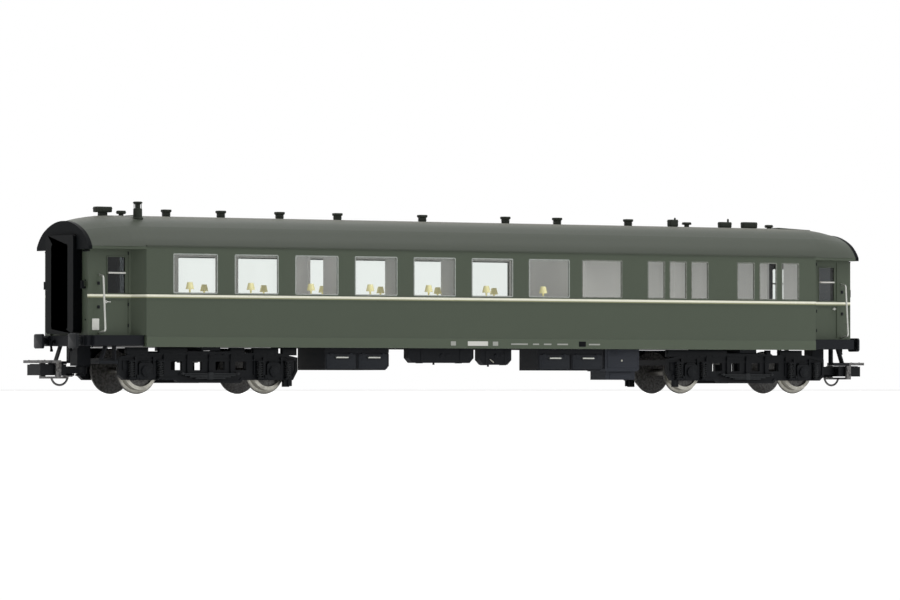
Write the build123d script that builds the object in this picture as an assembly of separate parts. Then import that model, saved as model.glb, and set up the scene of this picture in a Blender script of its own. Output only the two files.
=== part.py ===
from build123d import *
import math
import os

# Scale model (1:87) of a four-axle express dining coach with recessed doors at
# narrowed ends. Millimetres. X runs along the coach, Y across it, Z up from the
# plane that the wheel flanges stand on. End a is at -X, end b at +X, and the
# near side is -Y. Both ends and both sides are alike unless a table says not.

# Running gear
tread_radius = 5.4
flange_height = 1.0
flange_width = 0.8
tyre_width = 2.8
back_to_back = 14.4
rim_thickness = 1.1
hub_radius = 1.7
web_recess = 0.7
axle_radius = 1.0
journal_radius = 0.45
journal_clearance = 0.05
journal_length = 1.9
axle_side_play = 0.15
wheelbase = 41.3
pivot_inset = 38.2

# Coach body; insets are measured inwards from the end walls
body_width = 33.5
vestibule_width = 25.2
body_length = 261.6
vestibule_length = 15.6
recess_slant = 2.6
body_wall = 1.0
sole_height = 12.1
vestibule_sole_height = 15.3
skirt_band_height = 2.75
skirt_band_proud = 0.12
belt_height = 25.35
belt_depth = 1.5
belt_proud = 0.15
eaves_height = 40.0
soffit_thickness = 0.8

# Windows and doors
window_sill_height = 27.0
window_depth = 11.15
window_corner = 0.45
frame_width = 0.32
frame_depth = 0.45
glass_thickness = 0.6
glass_lap = 0.9
glass_end_gap = 0.9
frame_corner = 0.25
door_inset = 8.4
door_width = 7.6
door_margin = 0.6
door_groove = 0.2
door_window_width = 5.5
door_window_depth = 10.0
door_glass_thickness = 0.6
door_bar_height = 32.6
door_bar_radius = 0.25
door_bar_standoff = 0.25
gangway_door_width = 8.6
gangway_door_height = 22.6
gangway_panels = ((1.5, 9.0), (11.0, 20.5))
gangway_panel_width = 5.6
gangway_panel_depth = 0.3
gangway_sill = 1.2

# Roof: a flat crown arc meets a tighter shoulder arc on each side
roof_rise = 9.0
shoulder_inset = 4.5
shoulder_drop = 3.4
roof_wall = 1.0
roof_overhang = 0.6
roof_tip_width = 30.2
roof_tip_rise = 7.2
roof_cap_stations = (0.0, 0.25, 0.45, 0.62, 0.76, 0.88, 1.0)
roof_droop_length = 14.0
gutter_size = 0.35
end_panel_thickness = 1.2
end_panel_drop = 0.9
corner_post_width = 3.2
corner_post_proud = 0.5
corner_post_height = 38.6
lamp_bracket_height = 28.2
lamp_bracket_inset = 1.4
lamp_bracket_width = 1.0
lamp_bracket_reach = 1.2
lamp_bracket_rise = 2.2
lamp_bracket_thickness = 0.6

# Gangway
gangway_width = 16.2
gangway_depth = 2.8
gangway_foot_height = 15.8
gangway_height = 27.4
gangway_opening_width = 9.6
gangway_opening_height = 23.6
gangway_corner = 1.0
fold_count = 4
fold_depth = 0.6
latch_size = (1.4, 0.5)
latch_foot = 9.8

# Underframe
floor_height = 13.0
floor_thickness = 1.5
seat_gap = 0.1
pivot_radius = 2.0
pivot_clearance = 0.08
pivot_pad_radius = 4.2
pivot_shoulder = 0.2
retainer_radius = 3.0
retainer_thickness = 0.7
body_bolster_length = 6.0
body_bolster_half = 13.4
bolster_gap = 0.3
platform_drop = 0.3
platform_flare = 2.4
beam_bottom = 12.4
beam_thickness = 1.4
beam_lap = 0.2
beam_side = 0.9

# Buffers
buffer_reach = 4.2
buffer_spacing = 20.0
buffer_height = 13.75
buffer_head_width = 5.0
buffer_head_height = 4.1
buffer_head_thickness = 0.8
buffer_head_corner = 0.7
buffer_plunger_radius = 0.8
buffer_barrel_radius = 1.15
buffer_barrel_length = 1.6
buffer_plate_width = 3.6
buffer_plate_thickness = 0.4

# Couplers
coupler_pivot_inset = 3.9
coupler_height = 5.7
coupler_eye_radius = 1.9
coupler_pin_radius = 0.8
coupler_pin_clearance = 0.06
coupler_gap = 0.15
pocket_size = 4.2
pin_head_thickness = 0.5
pin_head_radius = 1.4
shank_width = 3.0
shank_thickness = 2.0
head_width = 7.6
head_height = 3.0
head_wall = 1.0
head_length = 8.2
head_reach = 10.8
hook_width = 1.8
bail_reach = 11.4
bail_width = 10.0
bail_wire = 0.8
bail_height = 7.6
bail_pivot_reach = 5.6
bail_arm_width = 1.6
bail_pin_radius = 0.35
bail_pin_clearance = 0.06
bail_head_gap = 0.3
tail_ring_radius = 2.6
tail_ring_wire = 0.6
tail_ring_reach = 2.7
tail_ring_height = 4.1
tail_bar_width = 1.0

# Bogie frames; lengths are measured from the pivot, the overhang from the outer axle
bogie_overhang = 8.15
frame_inner_y = 10.9
frame_plate = 1.2
frame_rim = 0.35
frame_rim_width = 0.7
frame_top = 10.5
frame_crown = 10.9
frame_crown_half = 6.5
frame_end_top = 9.3
frame_end_slope = 6.0
frame_crown_slope = 1.5
frame_outer_foot = 4.2
frame_inner_foot = 5.5
frame_foot_slope = 1.5
frame_bottom = 2.9
frame_centre_bottom = 2.1
frame_centre_half = 10.0
frame_holes = ((2.2, 5.2), (8.6, 12.2))
frame_hole_foot = 5.7
frame_hole_top = 8.1
frame_ledge_height = 8.3
frame_ledge_width = 0.4
axlebox_width = 4.4
axlebox_height = 4.6
axlebox_proud = 1.5
axlebox_corner = 0.7
axlebox_lid_radius = 1.5
axlebox_lid_thickness = 0.5
horn_width = 0.8
horn_offset = 2.9
horn_height = 6.4
horn_proud = 0.6
coil_radius = 0.9
coil_offset = 4.6
coil_bottom = 3.6
coil_top = 7.9
coil_pan_half = 1.05
coil_pan_thickness = 0.4
leaf_half_lengths = (9.6, 8.2, 6.6, 4.8)
leaf_thickness = 0.42
leaf_width = 1.1
leaf_bottom = 3.2
buckle_half = 0.8
buckle_margin = 0.15
bolster_half = 5.0
bolster_thickness = 2.2
cross_lap = 0.2
end_beam_thickness = 1.2
end_beam_foot = 7.4
end_beam_depth = 1.6
guard_place = 25.4
guard_length = 1.8
guard_bottom = 1.0
shoe_clearance = 0.3
shoe_thickness = 1.0
shoe_height = 4.8
shoe_hanger = 0.8
shoe_hanger_height = 1.2

# Rooms: seven saloon bays, then the kitchen part, which keeps its length at end b
saloon_bays = 7
smoking_bays = 3
saloon_window_width = 14.3
saloon_first_inset = 15.7
saloon_last_margin = 9.4
kitchen_length = 86.8
# Kitchen windows: first centre from the full width's end b, pitch, count, width
kitchen_rows = (
    (77.6, 0.0, 1, 14.3),
    (58.3, 7.85, 3, 6.3),
    (25.8, 8.2, 3, 6.5),
)
kitchen_wall_insets = (66.7, 34.2)
end_partition_inset = 2.7
aisle_half = 4.2
partition_gap = 0.35
corridor_width = 6.75
partition_thickness = 0.8
partition_top = 39.0
tray_end_gap = 1.2
tray_thickness = 0.8

# Dining saloon furniture
furniture_wall_gap = 0.3
table_width = 4.8
table_depth = 6.6
table_top_height = 25.6
table_top_thickness = 0.6
table_leg = 0.9
table_leg_inset = 1.2
chair_gap = 1.35
chair_seat_depth = 3.7
chair_width = 6.4
chair_seat_height = 5.0
chair_seat_thickness = 1.2
chair_back_height = 10.4
chair_back_thickness = 0.9
chair_back_lean = 0.4
chair_toe = 0.6
lamp_from_wall = 2.3
lamp_height = 4.6
lamp_base_radius = 0.8
lamp_base_thickness = 0.35
lamp_stem_radius = 0.28
lamp_shade_foot = 1.2
lamp_shade_top = 0.75
lamp_shade_height = 2.0

# Roof ventilators: bay numbers over the saloon, then insets from end b's full width
ventilator_bays = (0.0, 0.9, 1.88, 2.86, 4.32, 5.78)
ventilator_insets = (82.3, 56.9)
ventilator_length = 1.9
ventilator_width = 1.9
ventilator_height = 1.95
ventilator_brim = 0.2
ventilator_brim_thickness = 0.45

# Roof boxes: end, inset of the centre, length, width, height over the ridge, foot
roof_boxes = (
    (-1, 10.9, 5.0, 2.4, 2.4, 0.8),
    (-1, 16.8, 2.6, 1.3, 1.4, 0.4),
    (1, 56.3, 3.0, 1.8, 2.1, 0.0),
    (1, 51.2, 2.6, 1.6, 1.4, 0.6),
    (1, 37.2, 4.2, 1.7, 1.7, 0.0),
    (1, 28.2, 5.1, 1.9, 1.8, 0.0),
    (1, 20.8, 2.3, 1.5, 1.1, 0.2),
)
# Spikes: the roof box that carries one, its offset along the box, height over the ridge
roof_spikes = ((2, 0.8, 2.8), (4, 1.2, 2.8))
spike_radius = 0.3
box_chamfer = 0.3
# Flat walkway plates: end, insets of their two ends, width
roof_plates = ((1, 7.5, 19.3, 6.0), (-1, 13.6, 20.2, 3.0))
roof_plate_thickness = 0.2
chimney_inset = 18.5
chimney_y = -6.5
chimney_radius = 1.25
chimney_neck_radius = 0.75
chimney_cap_radius = 1.35
chimney_step = 1.8
chimney_cap_foot = 3.2
chimney_top = 3.8

# Underfloor boxes; face insets are measured from the coach's side
battery_face_inset = 2.75
battery_a_depth = 15.0
battery_b_depth = 9.7
battery_bottom = 5.8
battery_a_start = 36.9
battery_a_length = 21.4
battery_b_length = 23.2
battery_groove = 0.25
battery_lid_height = 10.5
battery_chamfer = 1.2
equipment_face_inset = 3.75
equipment_depth = 10.0
equipment_end_gap = 39.3
equipment_length = 12.2
equipment_bottom = 5.6
equipment_neighbour_gap = 1.2
equipment_chamfer = 0.6
equipment_foot_bottom = 3.1
equipment_foot_setback = 1.0
equipment_foot_length = 10.4
tank_face_inset = 4.15
tank_depth = 2.6
tank_gaps = (7.5, 2.1, 8.2)
tank_share = 0.67
tank_bottoms = (7.9, 7.4)
tank_chamfer = 1.4
handle_length = 4.0
handle_height = 9.4
handle_standoff = 0.6
handle_radius = 0.26
handle_foot_radius = 0.22

# Door steps, grab rails and hoses
step_inner_inset = 7.6
step_outer_inset = 1.8
step_y = 14.9
step_depth = 2.6
step_height = 8.1
step_thickness = 0.45
hanger_width = 1.7
hanger_thickness = 0.5
hanger_lean = 1.7
hanger_inset = 0.9
rail_radius = 0.28
rail_bend = 0.7
grab_inset = 3.0
grab_foot = 16.5
grab_top = 31.6
grab_bracket = 0.7
grab_top_standoff = 2.3
grab_foot_standoff = 3.5
hose_y = 5.6
hose_radius = 0.45
hose_drop = 2.6
hose_reach = 0.9
hose_from_top = 1.6
hose_bend = 0.6

# Derived heights above the floor plane and places along the coach
rail = flange_height
flange_radius = tread_radius + flange_height
axle_z = flange_radius
half_length = body_length / 2
full_half = half_length - vestibule_length
half_width = body_width / 2
inner_half = half_width - body_wall
vestibule_half = vestibule_width / 2
sole_z = rail + sole_height
vestibule_sole_z = rail + vestibule_sole_height
belt_z = rail + belt_height
sill_z = rail + window_sill_height
eaves_z = rail + eaves_height
ridge_z = eaves_z + roof_rise
roof_half = half_length + roof_overhang
roof_tip_half = roof_tip_width / 2
floor_z = rail + floor_height
floor_top = floor_z + floor_thickness
pivot_x = half_length - pivot_inset
door_centre = half_length - door_inset
gangway_x = half_length + gangway_depth
gangway_foot = rail + gangway_foot_height
platform_z = rail + sole_height + platform_drop
beam_x = half_length - beam_lap + beam_thickness
buffer_face_x = half_length + buffer_reach
coupler_z = rail + coupler_height
coupler_pivot_x = half_length - coupler_pivot_inset
bail_pivot_x = half_length + bail_pivot_reach
head_end = half_length + head_reach
head_start = head_end - head_length
tail_ring_x = half_length + tail_ring_reach
bail_end = half_length + bail_reach
bolster_top = rail + frame_crown
bolster_bottom = bolster_top - bolster_thickness
bogie_half_length = round(wheelbase / 2 + bogie_overhang, 3)
frame_face_y = frame_inner_y + frame_plate
ends = (("a", -1), ("b", 1))
sides = (-1, 1)

# Underfloor chain: a box at each end of the middle part, two tanks share the rest
battery_y = battery_face_inset - half_width
battery_a_x = battery_a_start - pivot_x
battery_a_end = battery_a_x + battery_a_length
equipment_end = pivot_x - equipment_end_gap
equipment_x = equipment_end - equipment_length
battery_b_end = equipment_x - equipment_neighbour_gap
battery_b_x = battery_b_end - battery_b_length
battery_boxes = (
    (battery_a_x, battery_a_end, battery_a_depth),
    (battery_b_x, battery_b_end, battery_b_depth),
)
tank_room = battery_b_x - battery_a_end - sum(tank_gaps)
tank_a_x = battery_a_end + tank_gaps[0]
tank_a_end = tank_a_x + tank_room * tank_share
tank_b_x = tank_a_end + tank_gaps[1]
tank_b_end = battery_b_x - tank_gaps[2]
tanks = (
    (tank_a_x, tank_a_end, tank_bottoms[0]),
    (tank_b_x, tank_b_end, tank_bottoms[1]),
)

# Saloon bays and windows
saloon_end = full_half - kitchen_length
bay_first = saloon_first_inset - full_half
bay_pitch = (saloon_end - saloon_last_margin - bay_first) / (saloon_bays - 1)
bays = [bay_first + i * bay_pitch for i in range(saloon_bays)]
windows = [(x, saloon_window_width) for x in bays]
windows += [(full_half - inset + i * pitch, width)
            for inset, pitch, count, width in kitchen_rows
            for i in range(count)]

# Saloon partitions leave an aisle, kitchen ones end at the corridor wall
smoking_end = bay_first + (smoking_bays - 0.5) * bay_pitch
end_partition = full_half - end_partition_inset
saloon_partitions = (-end_partition, smoking_end, end_partition)
kitchen_partitions = (saloon_end,) + tuple(full_half - inset for inset in kitchen_wall_insets)
corridor_wall_y = inner_half - corridor_width - partition_thickness
partition_y = inner_half - partition_gap
tray_top = floor_top + tray_thickness
lamp_y = half_width - body_wall - lamp_from_wall - furniture_wall_gap


def block(x0, x1, y0, y1, z0, z1):
    """A box from its lowest to its highest corner."""
    size = Box(abs(x1 - x0), abs(y1 - y0), abs(z1 - z0))
    return Pos((x0 + x1) / 2, (y0 + y1) / 2, (z0 + z1) / 2) * size


def rounded_block(x0, x1, y0, y1, z0, z1, radius, axis):
    """A box whose edges along one axis are rounded."""
    body = block(x0, x1, y0, y1, z0, z1)
    return fillet(body.edges().filter_by(axis), radius)


def rod(start, end, radius):
    """A round bar between two points."""
    line = Vector(*end) - Vector(*start)
    place = Plane(origin=start, z_dir=line)
    return place * Cylinder(radius, line.length, align=(Align.CENTER, Align.CENTER, Align.MIN))


def drum(x, y, z0, z1, radius):
    """An upright cylinder."""
    return Pos(x, y, z0) * Cylinder(radius, z1 - z0, align=(Align.CENTER, Align.CENTER, Align.MIN))


def upright(points, y0, y1):
    """An outline in X and Z, carried across the coach from y0 to y1."""
    face = Plane.XZ * make_face(Polyline(*points, close=True))
    return Pos(0, y0, 0) * extrude(face, amount=y0 - y1)


def other_side(shape):
    return mirror(shape, Plane.XZ)


def other_end(shape):
    return mirror(shape, Plane.YZ)


def four_corners(shape):
    """The shape at end b, far side, and its three mirror images."""
    return [shape, other_side(shape), other_end(shape), other_end(other_side(shape))]


def solids_of(items):
    found = []
    for item in items:
        if isinstance(item, (list, tuple)):
            found.extend(solids_of(item))
        else:
            found.extend(item.solids())
    return found


def save(node, *items):
    """Writes one node, as one solid or as several that stay apart."""
    found = solids_of(items)
    shape = found[0] if len(found) == 1 else Compound(children=found)
    export_step(shape, "parts/" + node + ".step")


def plan_face(grow=0.0):
    """The coach's outline from above: full width, slant, narrow vestibules."""
    quarter = [
        (full_half, half_width),
        (full_half + recess_slant, vestibule_half),
        (half_length, vestibule_half),
    ]
    points = quarter + [(x, -y) for x, y in reversed(quarter)]
    points = points + [(-x, -y) for x, y in points]
    face = make_face(Polyline(*points, close=True))
    if grow:
        face = offset(face, amount=grow, kind=Kind.INTERSECTION)
    return face


def prism(face, z0, z1):
    """A flat outline raised between two heights."""
    return Pos(0, 0, z0) * extrude(face, amount=z1 - z0)


def arch_face(x, half, rise):
    """An upright face across the coach: crown arc and two shoulder arcs over the eaves."""
    joint_y = half - shoulder_inset
    drop = shoulder_drop * rise / roof_rise
    joint_z = rise - drop
    crown = (joint_y ** 2 + drop ** 2) / (2 * drop)
    lean = math.asin(joint_y / crown)
    slope = shoulder_inset * math.sin(lean) - joint_z * math.cos(lean)
    shoulder = -(shoulder_inset ** 2 + joint_z ** 2) / (2 * slope)
    centre_y = joint_y - shoulder * math.sin(lean)
    centre_z = joint_z - shoulder * math.cos(lean)
    middle = (lean + math.atan2(half - centre_y, -centre_z)) / 2
    bend = (centre_y + shoulder * math.sin(middle), centre_z + shoulder * math.cos(middle))
    place = Plane(origin=(x, 0, eaves_z), x_dir=(0, 1, 0), z_dir=(1, 0, 0))
    arcs = [
        ThreePointArc((half, 0), bend, (joint_y, joint_z)),
        ThreePointArc((joint_y, joint_z), (0, rise), (-joint_y, joint_z)),
        ThreePointArc((-joint_y, joint_z), (-bend[0], bend[1]), (-half, 0)),
        Line((-half, 0), (half, 0)),
    ]
    return place * make_face(Wire(arcs))


def roof_section(x, inset):
    """The roof's section at x, narrowing and drooping towards the tip."""
    taper = max(0.0, abs(x) - full_half) / (roof_half - full_half)
    run = max(0.0, abs(x) - roof_half + roof_droop_length) / roof_droop_length
    half = half_width + (roof_tip_half - half_width) * taper ** 1.5 - inset
    rise = roof_rise + (roof_tip_rise - roof_rise) * run ** 2 - inset
    return arch_face(x, half, rise)


def roof_form(inset):
    """The roof as a solid: one loft, straight in the middle, drooping at both ends."""
    cap = roof_half - full_half
    steps = [full_half + cap * part for part in roof_cap_stations]
    stations = [-x for x in reversed(steps)] + steps
    return loft([roof_section(x, inset) for x in stations], ruled=True)


solid_roof = roof_form(0)


def window_pane(x, width, y0, y1, shrink, corner):
    """The filling of one side window, between two Y values."""
    return rounded_block(x - width / 2 + shrink, x + width / 2 - shrink, y0, y1,
                         sill_z + shrink, sill_z + window_depth - shrink, corner, Axis.Y)


def door_window(y0, y1):
    """The window of the door at end b, far side."""
    half = door_window_width / 2
    return rounded_block(door_centre - half, door_centre + half, y0, y1,
                         sill_z, sill_z + door_window_depth, window_corner, Axis.Y)


# Body shell: walls, belt rail, skirt band, soffits, corner posts, openings
def make_body_shell():
    beyond = 1.0
    shell = prism(plan_face(), sole_z, eaves_z)
    shell += prism(plan_face(belt_proud), belt_z, belt_z + belt_depth) & block(
        -half_length, half_length, -half_width - beyond, half_width + beyond, sole_z, eaves_z)
    shell += prism(plan_face(skirt_band_proud), sole_z, sole_z + skirt_band_height) & block(
        -full_half, full_half, -half_width - beyond, half_width + beyond, sole_z, eaves_z)
    soffit_plan = make_face(Polyline(
        (full_half, half_width), (roof_half, roof_tip_half),
        (roof_half, -roof_tip_half), (full_half, -half_width), close=True))
    soffit = prism(soffit_plan, eaves_z - soffit_thickness, eaves_z) - gangway_clearance()
    shell += soffit + other_end(soffit)
    post = block(half_length - body_wall, half_length + corner_post_proud,
                 vestibule_half - corner_post_width, vestibule_half,
                 vestibule_sole_z, rail + corner_post_height)
    for corner in four_corners(post):
        shell += corner
    shell -= prism(plan_face(-body_wall), sole_z - beyond, eaves_z + beyond)
    under = block(full_half, half_length + beyond, -half_width - beyond, half_width + beyond,
                  sole_z - beyond, vestibule_sole_z)
    shell -= under + other_end(under)
    for x, width in windows:
        cutter = window_pane(x, width, inner_half - beyond, half_width + beyond, 0, window_corner)
        shell -= cutter
        shell -= other_side(cutter)
    for cutter in four_corners(door_window(vestibule_half - body_wall - beyond,
                                           vestibule_half + beyond)):
        shell -= cutter
    door_panels = (
        (vestibule_sole_z + door_margin, belt_z),
        (belt_z + belt_depth, eaves_z - soffit_thickness - door_margin),
    )
    for z0, z1 in door_panels:
        panel = block(door_centre - door_width / 2, door_centre + door_width / 2,
                      vestibule_half - door_groove, vestibule_half + beyond, z0, z1)
        for cutter in four_corners(panel):
            shell -= cutter
    gangway = block(half_length - body_wall - beyond, half_length + beyond,
                    -gangway_door_width / 2, gangway_door_width / 2,
                    gangway_foot + gangway_sill, gangway_foot + gangway_sill + gangway_door_height)
    return shell - gangway - other_end(gangway)


# Roof: arched shell with drooping ends, closed by black arch panels
def make_roof():
    roof = solid_roof - roof_form(roof_wall)
    gutter = block(-full_half, full_half, half_width - gutter_size, half_width + gutter_size,
                   eaves_z, eaves_z + gutter_size)
    return roof + gutter + other_side(gutter)


def gangway_clearance():
    half = gangway_width / 2 + seat_gap
    return block(half_length, gangway_x + 1, -half, half,
                 gangway_foot, gangway_foot + gangway_height + seat_gap)


def make_end_panels():
    panel = extrude(roof_section(roof_half, 0), amount=end_panel_thickness, dir=(1, 0, 0))
    panel += block(roof_half, roof_half + end_panel_thickness, -roof_tip_half, roof_tip_half,
                   eaves_z - end_panel_drop, eaves_z)
    panel -= gangway_clearance()
    return [panel, other_end(panel)]


# Gangway: a folded bellows and the door behind it
def make_bellows():
    bellows = None
    thickness = gangway_depth / fold_count
    for i in range(fold_count):
        shrink = fold_depth if i % 2 == 0 else 0.0
        x0 = half_length + i * thickness
        fold = rounded_block(
            x0, x0 + thickness,
            -gangway_width / 2 + shrink, gangway_width / 2 - shrink,
            gangway_foot + shrink, gangway_foot + gangway_height - shrink, gangway_corner, Axis.X)
        bellows = fold if bellows is None else bellows + fold
    bellows -= rounded_block(
        half_length - 1, gangway_x + 1, -gangway_opening_width / 2, gangway_opening_width / 2,
        gangway_foot + gangway_sill, gangway_foot + gangway_sill + gangway_opening_height,
        gangway_corner, Axis.X)
    return [bellows, other_end(bellows)]


def make_gangway_doors():
    foot = gangway_foot + gangway_sill
    half = gangway_door_width / 2
    door = block(half_length - body_wall, half_length, -half, half,
                 foot, foot + gangway_door_height)
    for z0, z1 in gangway_panels:
        door -= block(half_length - gangway_panel_depth, half_length + 1,
                      -gangway_panel_width / 2, gangway_panel_width / 2, foot + z0, foot + z1)
    length, height = latch_size
    latch_y = gangway_panel_width / 2 - length
    door += block(half_length, half_length + height, latch_y, latch_y + length,
                  foot + latch_foot, foot + latch_foot + height)
    return [door, other_end(door)]


def make_lamp_brackets():
    x0 = half_length + corner_post_proud
    x1 = x0 + lamp_bracket_reach
    y1 = vestibule_half - lamp_bracket_inset
    y0 = y1 - lamp_bracket_width
    z = rail + lamp_bracket_height
    arm = block(x0, x1, y0, y1, z, z + lamp_bracket_thickness)
    arm += block(x1 - lamp_bracket_thickness, x1, y0, y1, z, z + lamp_bracket_rise)
    return four_corners(arm)


# Glazing: clear strips behind the walls with pads that fill the windows
def make_glazing():
    edges = sorted(saloon_partitions + kitchen_partitions)
    strips = []
    for low, high in zip(edges, edges[1:]):
        strip = block(low + glass_end_gap, high - glass_end_gap,
                      inner_half - glass_thickness, inner_half,
                      sill_z - glass_lap, sill_z + window_depth + glass_lap)
        for x, width in windows:
            if low < x < high:
                strip += window_pane(x, width, inner_half - seat_gap, half_width - frame_depth,
                                     0, window_corner)
        strips.append(strip)
    return strips + [other_side(strip) for strip in strips]


def make_window_frames():
    frames = []
    for x, width in windows:
        ring = window_pane(x, width, half_width - frame_depth, half_width, 0, window_corner)
        ring -= window_pane(x, width, half_width - 2 * frame_depth, half_width + frame_depth,
                            frame_width, frame_corner)
        frames.append(ring)
    return frames + [other_side(frame) for frame in frames]


def make_door_glass():
    outer = vestibule_half - door_groove - seat_gap
    return four_corners(door_window(outer - door_glass_thickness, outer))


def make_door_bars():
    """White bars across the door windows, on two feet that grip the panes."""
    z = rail + door_bar_height
    half = door_window_width / 2 - seat_gap
    y = vestibule_half + door_bar_standoff
    bar = rod((door_centre - half, y, z), (door_centre + half, y, z), door_bar_radius)
    for x in (door_centre - half, door_centre + half - 2 * door_bar_radius):
        bar += block(x, x + 2 * door_bar_radius, vestibule_half - door_groove - seat_gap, y,
                     z - door_bar_radius / 2, z + door_bar_radius / 2)
    return four_corners(bar)


# Underframe: floor plate, body bolsters, pivot posts, coupler pockets, end platforms
def make_underframe():
    plate = prism(plan_face(-body_wall - seat_gap), floor_z, floor_top)
    for sign in sides:
        x = sign * pivot_x
        plate += block(x - body_bolster_length / 2, x + body_bolster_length / 2,
                       -body_bolster_half, body_bolster_half, bolster_top + bolster_gap, floor_z)
        plate += drum(x, 0, bolster_top + seat_gap, floor_z, pivot_pad_radius)
        plate += drum(x, 0, bolster_bottom - pivot_shoulder, floor_z, pivot_radius)
    platform = make_platform()
    pocket = make_coupler_pocket()
    return plate + platform + other_end(platform) + pocket + other_end(pocket)


def make_platform():
    """The black platform under one vestibule, at end b."""
    inner = full_half + beam_lap
    outer = half_length - beam_lap
    flare = vestibule_half + platform_flare
    plan = make_face(Polyline(
        (inner, -inner_half), (inner, inner_half), (outer, flare), (outer, -flare), close=True))
    return prism(plan, platform_z, vestibule_sole_z)


def make_coupler_pocket():
    """The block and headed pin that hold the coupler's shank, at end b."""
    shank_top = coupler_z + shank_thickness / 2
    pin_foot = shank_top - shank_thickness - coupler_gap
    half = pocket_size / 2
    pocket = block(coupler_pivot_x - half, coupler_pivot_x + half, -half, half,
                   shank_top + coupler_gap, floor_z)
    pocket += drum(coupler_pivot_x, 0, pin_foot, floor_z, coupler_pin_radius)
    return pocket + drum(coupler_pivot_x, 0, pin_foot - pin_head_thickness, pin_foot,
                         pin_head_radius)


def make_retainers():
    """The screw heads that hold the bogies on their posts."""
    top = bolster_bottom - pivot_shoulder
    return [drum(sign * pivot_x, 0, top - retainer_thickness, top, retainer_radius)
            for sign in sides]


def make_buffer_beams():
    half = vestibule_half + beam_side
    beam = block(half_length - beam_lap, beam_x, -half, half, rail + beam_bottom, vestibule_sole_z)
    return [beam, other_end(beam)]


def make_buffers():
    z = rail + buffer_height
    y = buffer_spacing / 2
    half_plate = buffer_plate_width / 2
    half_head = buffer_head_width / 2
    buffer = block(beam_x, beam_x + buffer_plate_thickness, y - half_plate, y + half_plate,
                   rail + beam_bottom, vestibule_sole_z)
    buffer += rod((beam_x, y, z), (beam_x + buffer_barrel_length, y, z), buffer_barrel_radius)
    buffer += rod((beam_x, y, z), (buffer_face_x, y, z), buffer_plunger_radius)
    buffer += rounded_block(buffer_face_x - buffer_head_thickness, buffer_face_x,
                            y - half_head, y + half_head,
                            z - buffer_head_height / 2, z + buffer_head_height / 2,
                            buffer_head_corner, Axis.X)
    return four_corners(buffer)


# Interior: tray with partitions, chairs, tables and lamps
def make_tray():
    half = full_half - tray_end_gap
    tray = block(-half, half, -inner_half + seat_gap, inner_half - seat_gap, floor_top, tray_top)
    top = rail + partition_top
    half_wall = partition_thickness / 2
    for x in saloon_partitions:
        for y0, y1 in ((-partition_y, -aisle_half), (aisle_half, partition_y)):
            tray += block(x - half_wall, x + half_wall, y0, y1, tray_top, top)
    for x in kitchen_partitions:
        tray += block(x - half_wall, x + half_wall, -partition_y, corridor_wall_y, tray_top, top)
    tray += block(saloon_end - half_wall, end_partition + half_wall,
                  corridor_wall_y, corridor_wall_y + partition_thickness, tray_top, top)
    return tray


def make_chairs():
    chairs = []
    y1 = inner_half - glass_thickness - furniture_wall_gap
    front = bay_pitch / 2 - chair_gap - chair_back_thickness - chair_seat_depth
    back = front + chair_seat_depth
    rear = back + chair_back_thickness
    slab = chair_seat_height - chair_seat_thickness
    profile = (
        (front + chair_toe, 0), (front + chair_toe, slab), (front, slab),
        (front, chair_seat_height), (back, chair_seat_height),
        (back + chair_back_lean, chair_back_height), (rear + chair_back_lean, chair_back_height),
        (rear, 0),
    )
    for x in bays:
        for direction in sides:
            points = [(x + direction * along, tray_top + up) for along, up in profile]
            chair = upright(points, y1 - chair_width, y1)
            chairs += [chair, other_side(chair)]
    return chairs


def make_tables():
    tables = []
    y1 = inner_half - glass_thickness - furniture_wall_gap
    top = rail + table_top_height
    leg_y = y1 - table_depth + table_leg_inset
    for x in bays:
        table = block(x - table_width / 2, x + table_width / 2, y1 - table_depth, y1,
                      top - table_top_thickness, top)
        table += block(x - table_leg / 2, x + table_leg / 2, leg_y, leg_y + table_leg,
                       tray_top, top)
        tables += [table, other_side(table)]
    return tables


def make_table_lamps():
    lamps = []
    foot = rail + table_top_height
    shade = foot + lamp_height - lamp_shade_height
    for x in bays:
        lamp = drum(x, lamp_y, foot, foot + lamp_base_thickness, lamp_base_radius)
        lamp += drum(x, lamp_y, foot, shade, lamp_stem_radius)
        cone = Cone(lamp_shade_foot, lamp_shade_top, lamp_shade_height,
                    align=(Align.CENTER, Align.CENTER, Align.MIN))
        lamp += Pos(x, lamp_y, shade) * cone
        lamps += [lamp, other_side(lamp)]
    return lamps


# Roof fittings
def make_ventilators():
    """Square ventilators on the ridge, each with a brimmed hood."""
    places = [bay_first + bay * bay_pitch for bay in ventilator_bays]
    places += [full_half - inset for inset in ventilator_insets]
    top = ridge_z + ventilator_height
    half_x = ventilator_length / 2
    half_y = ventilator_width / 2
    found = []
    for x in places:
        hood = block(x - half_x, x + half_x, -half_y, half_y, top - ventilator_brim_thickness, top)
        hood = chamfer(hood.edges().group_by(Axis.Z)[-1], ventilator_brim)
        trunk = block(x - half_x + ventilator_brim, x + half_x - ventilator_brim,
                      -half_y + ventilator_brim, half_y - ventilator_brim, ridge_z - 1, top
                      - ventilator_brim_thickness)
        found.append((hood + trunk) - solid_roof)
    return found


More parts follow.
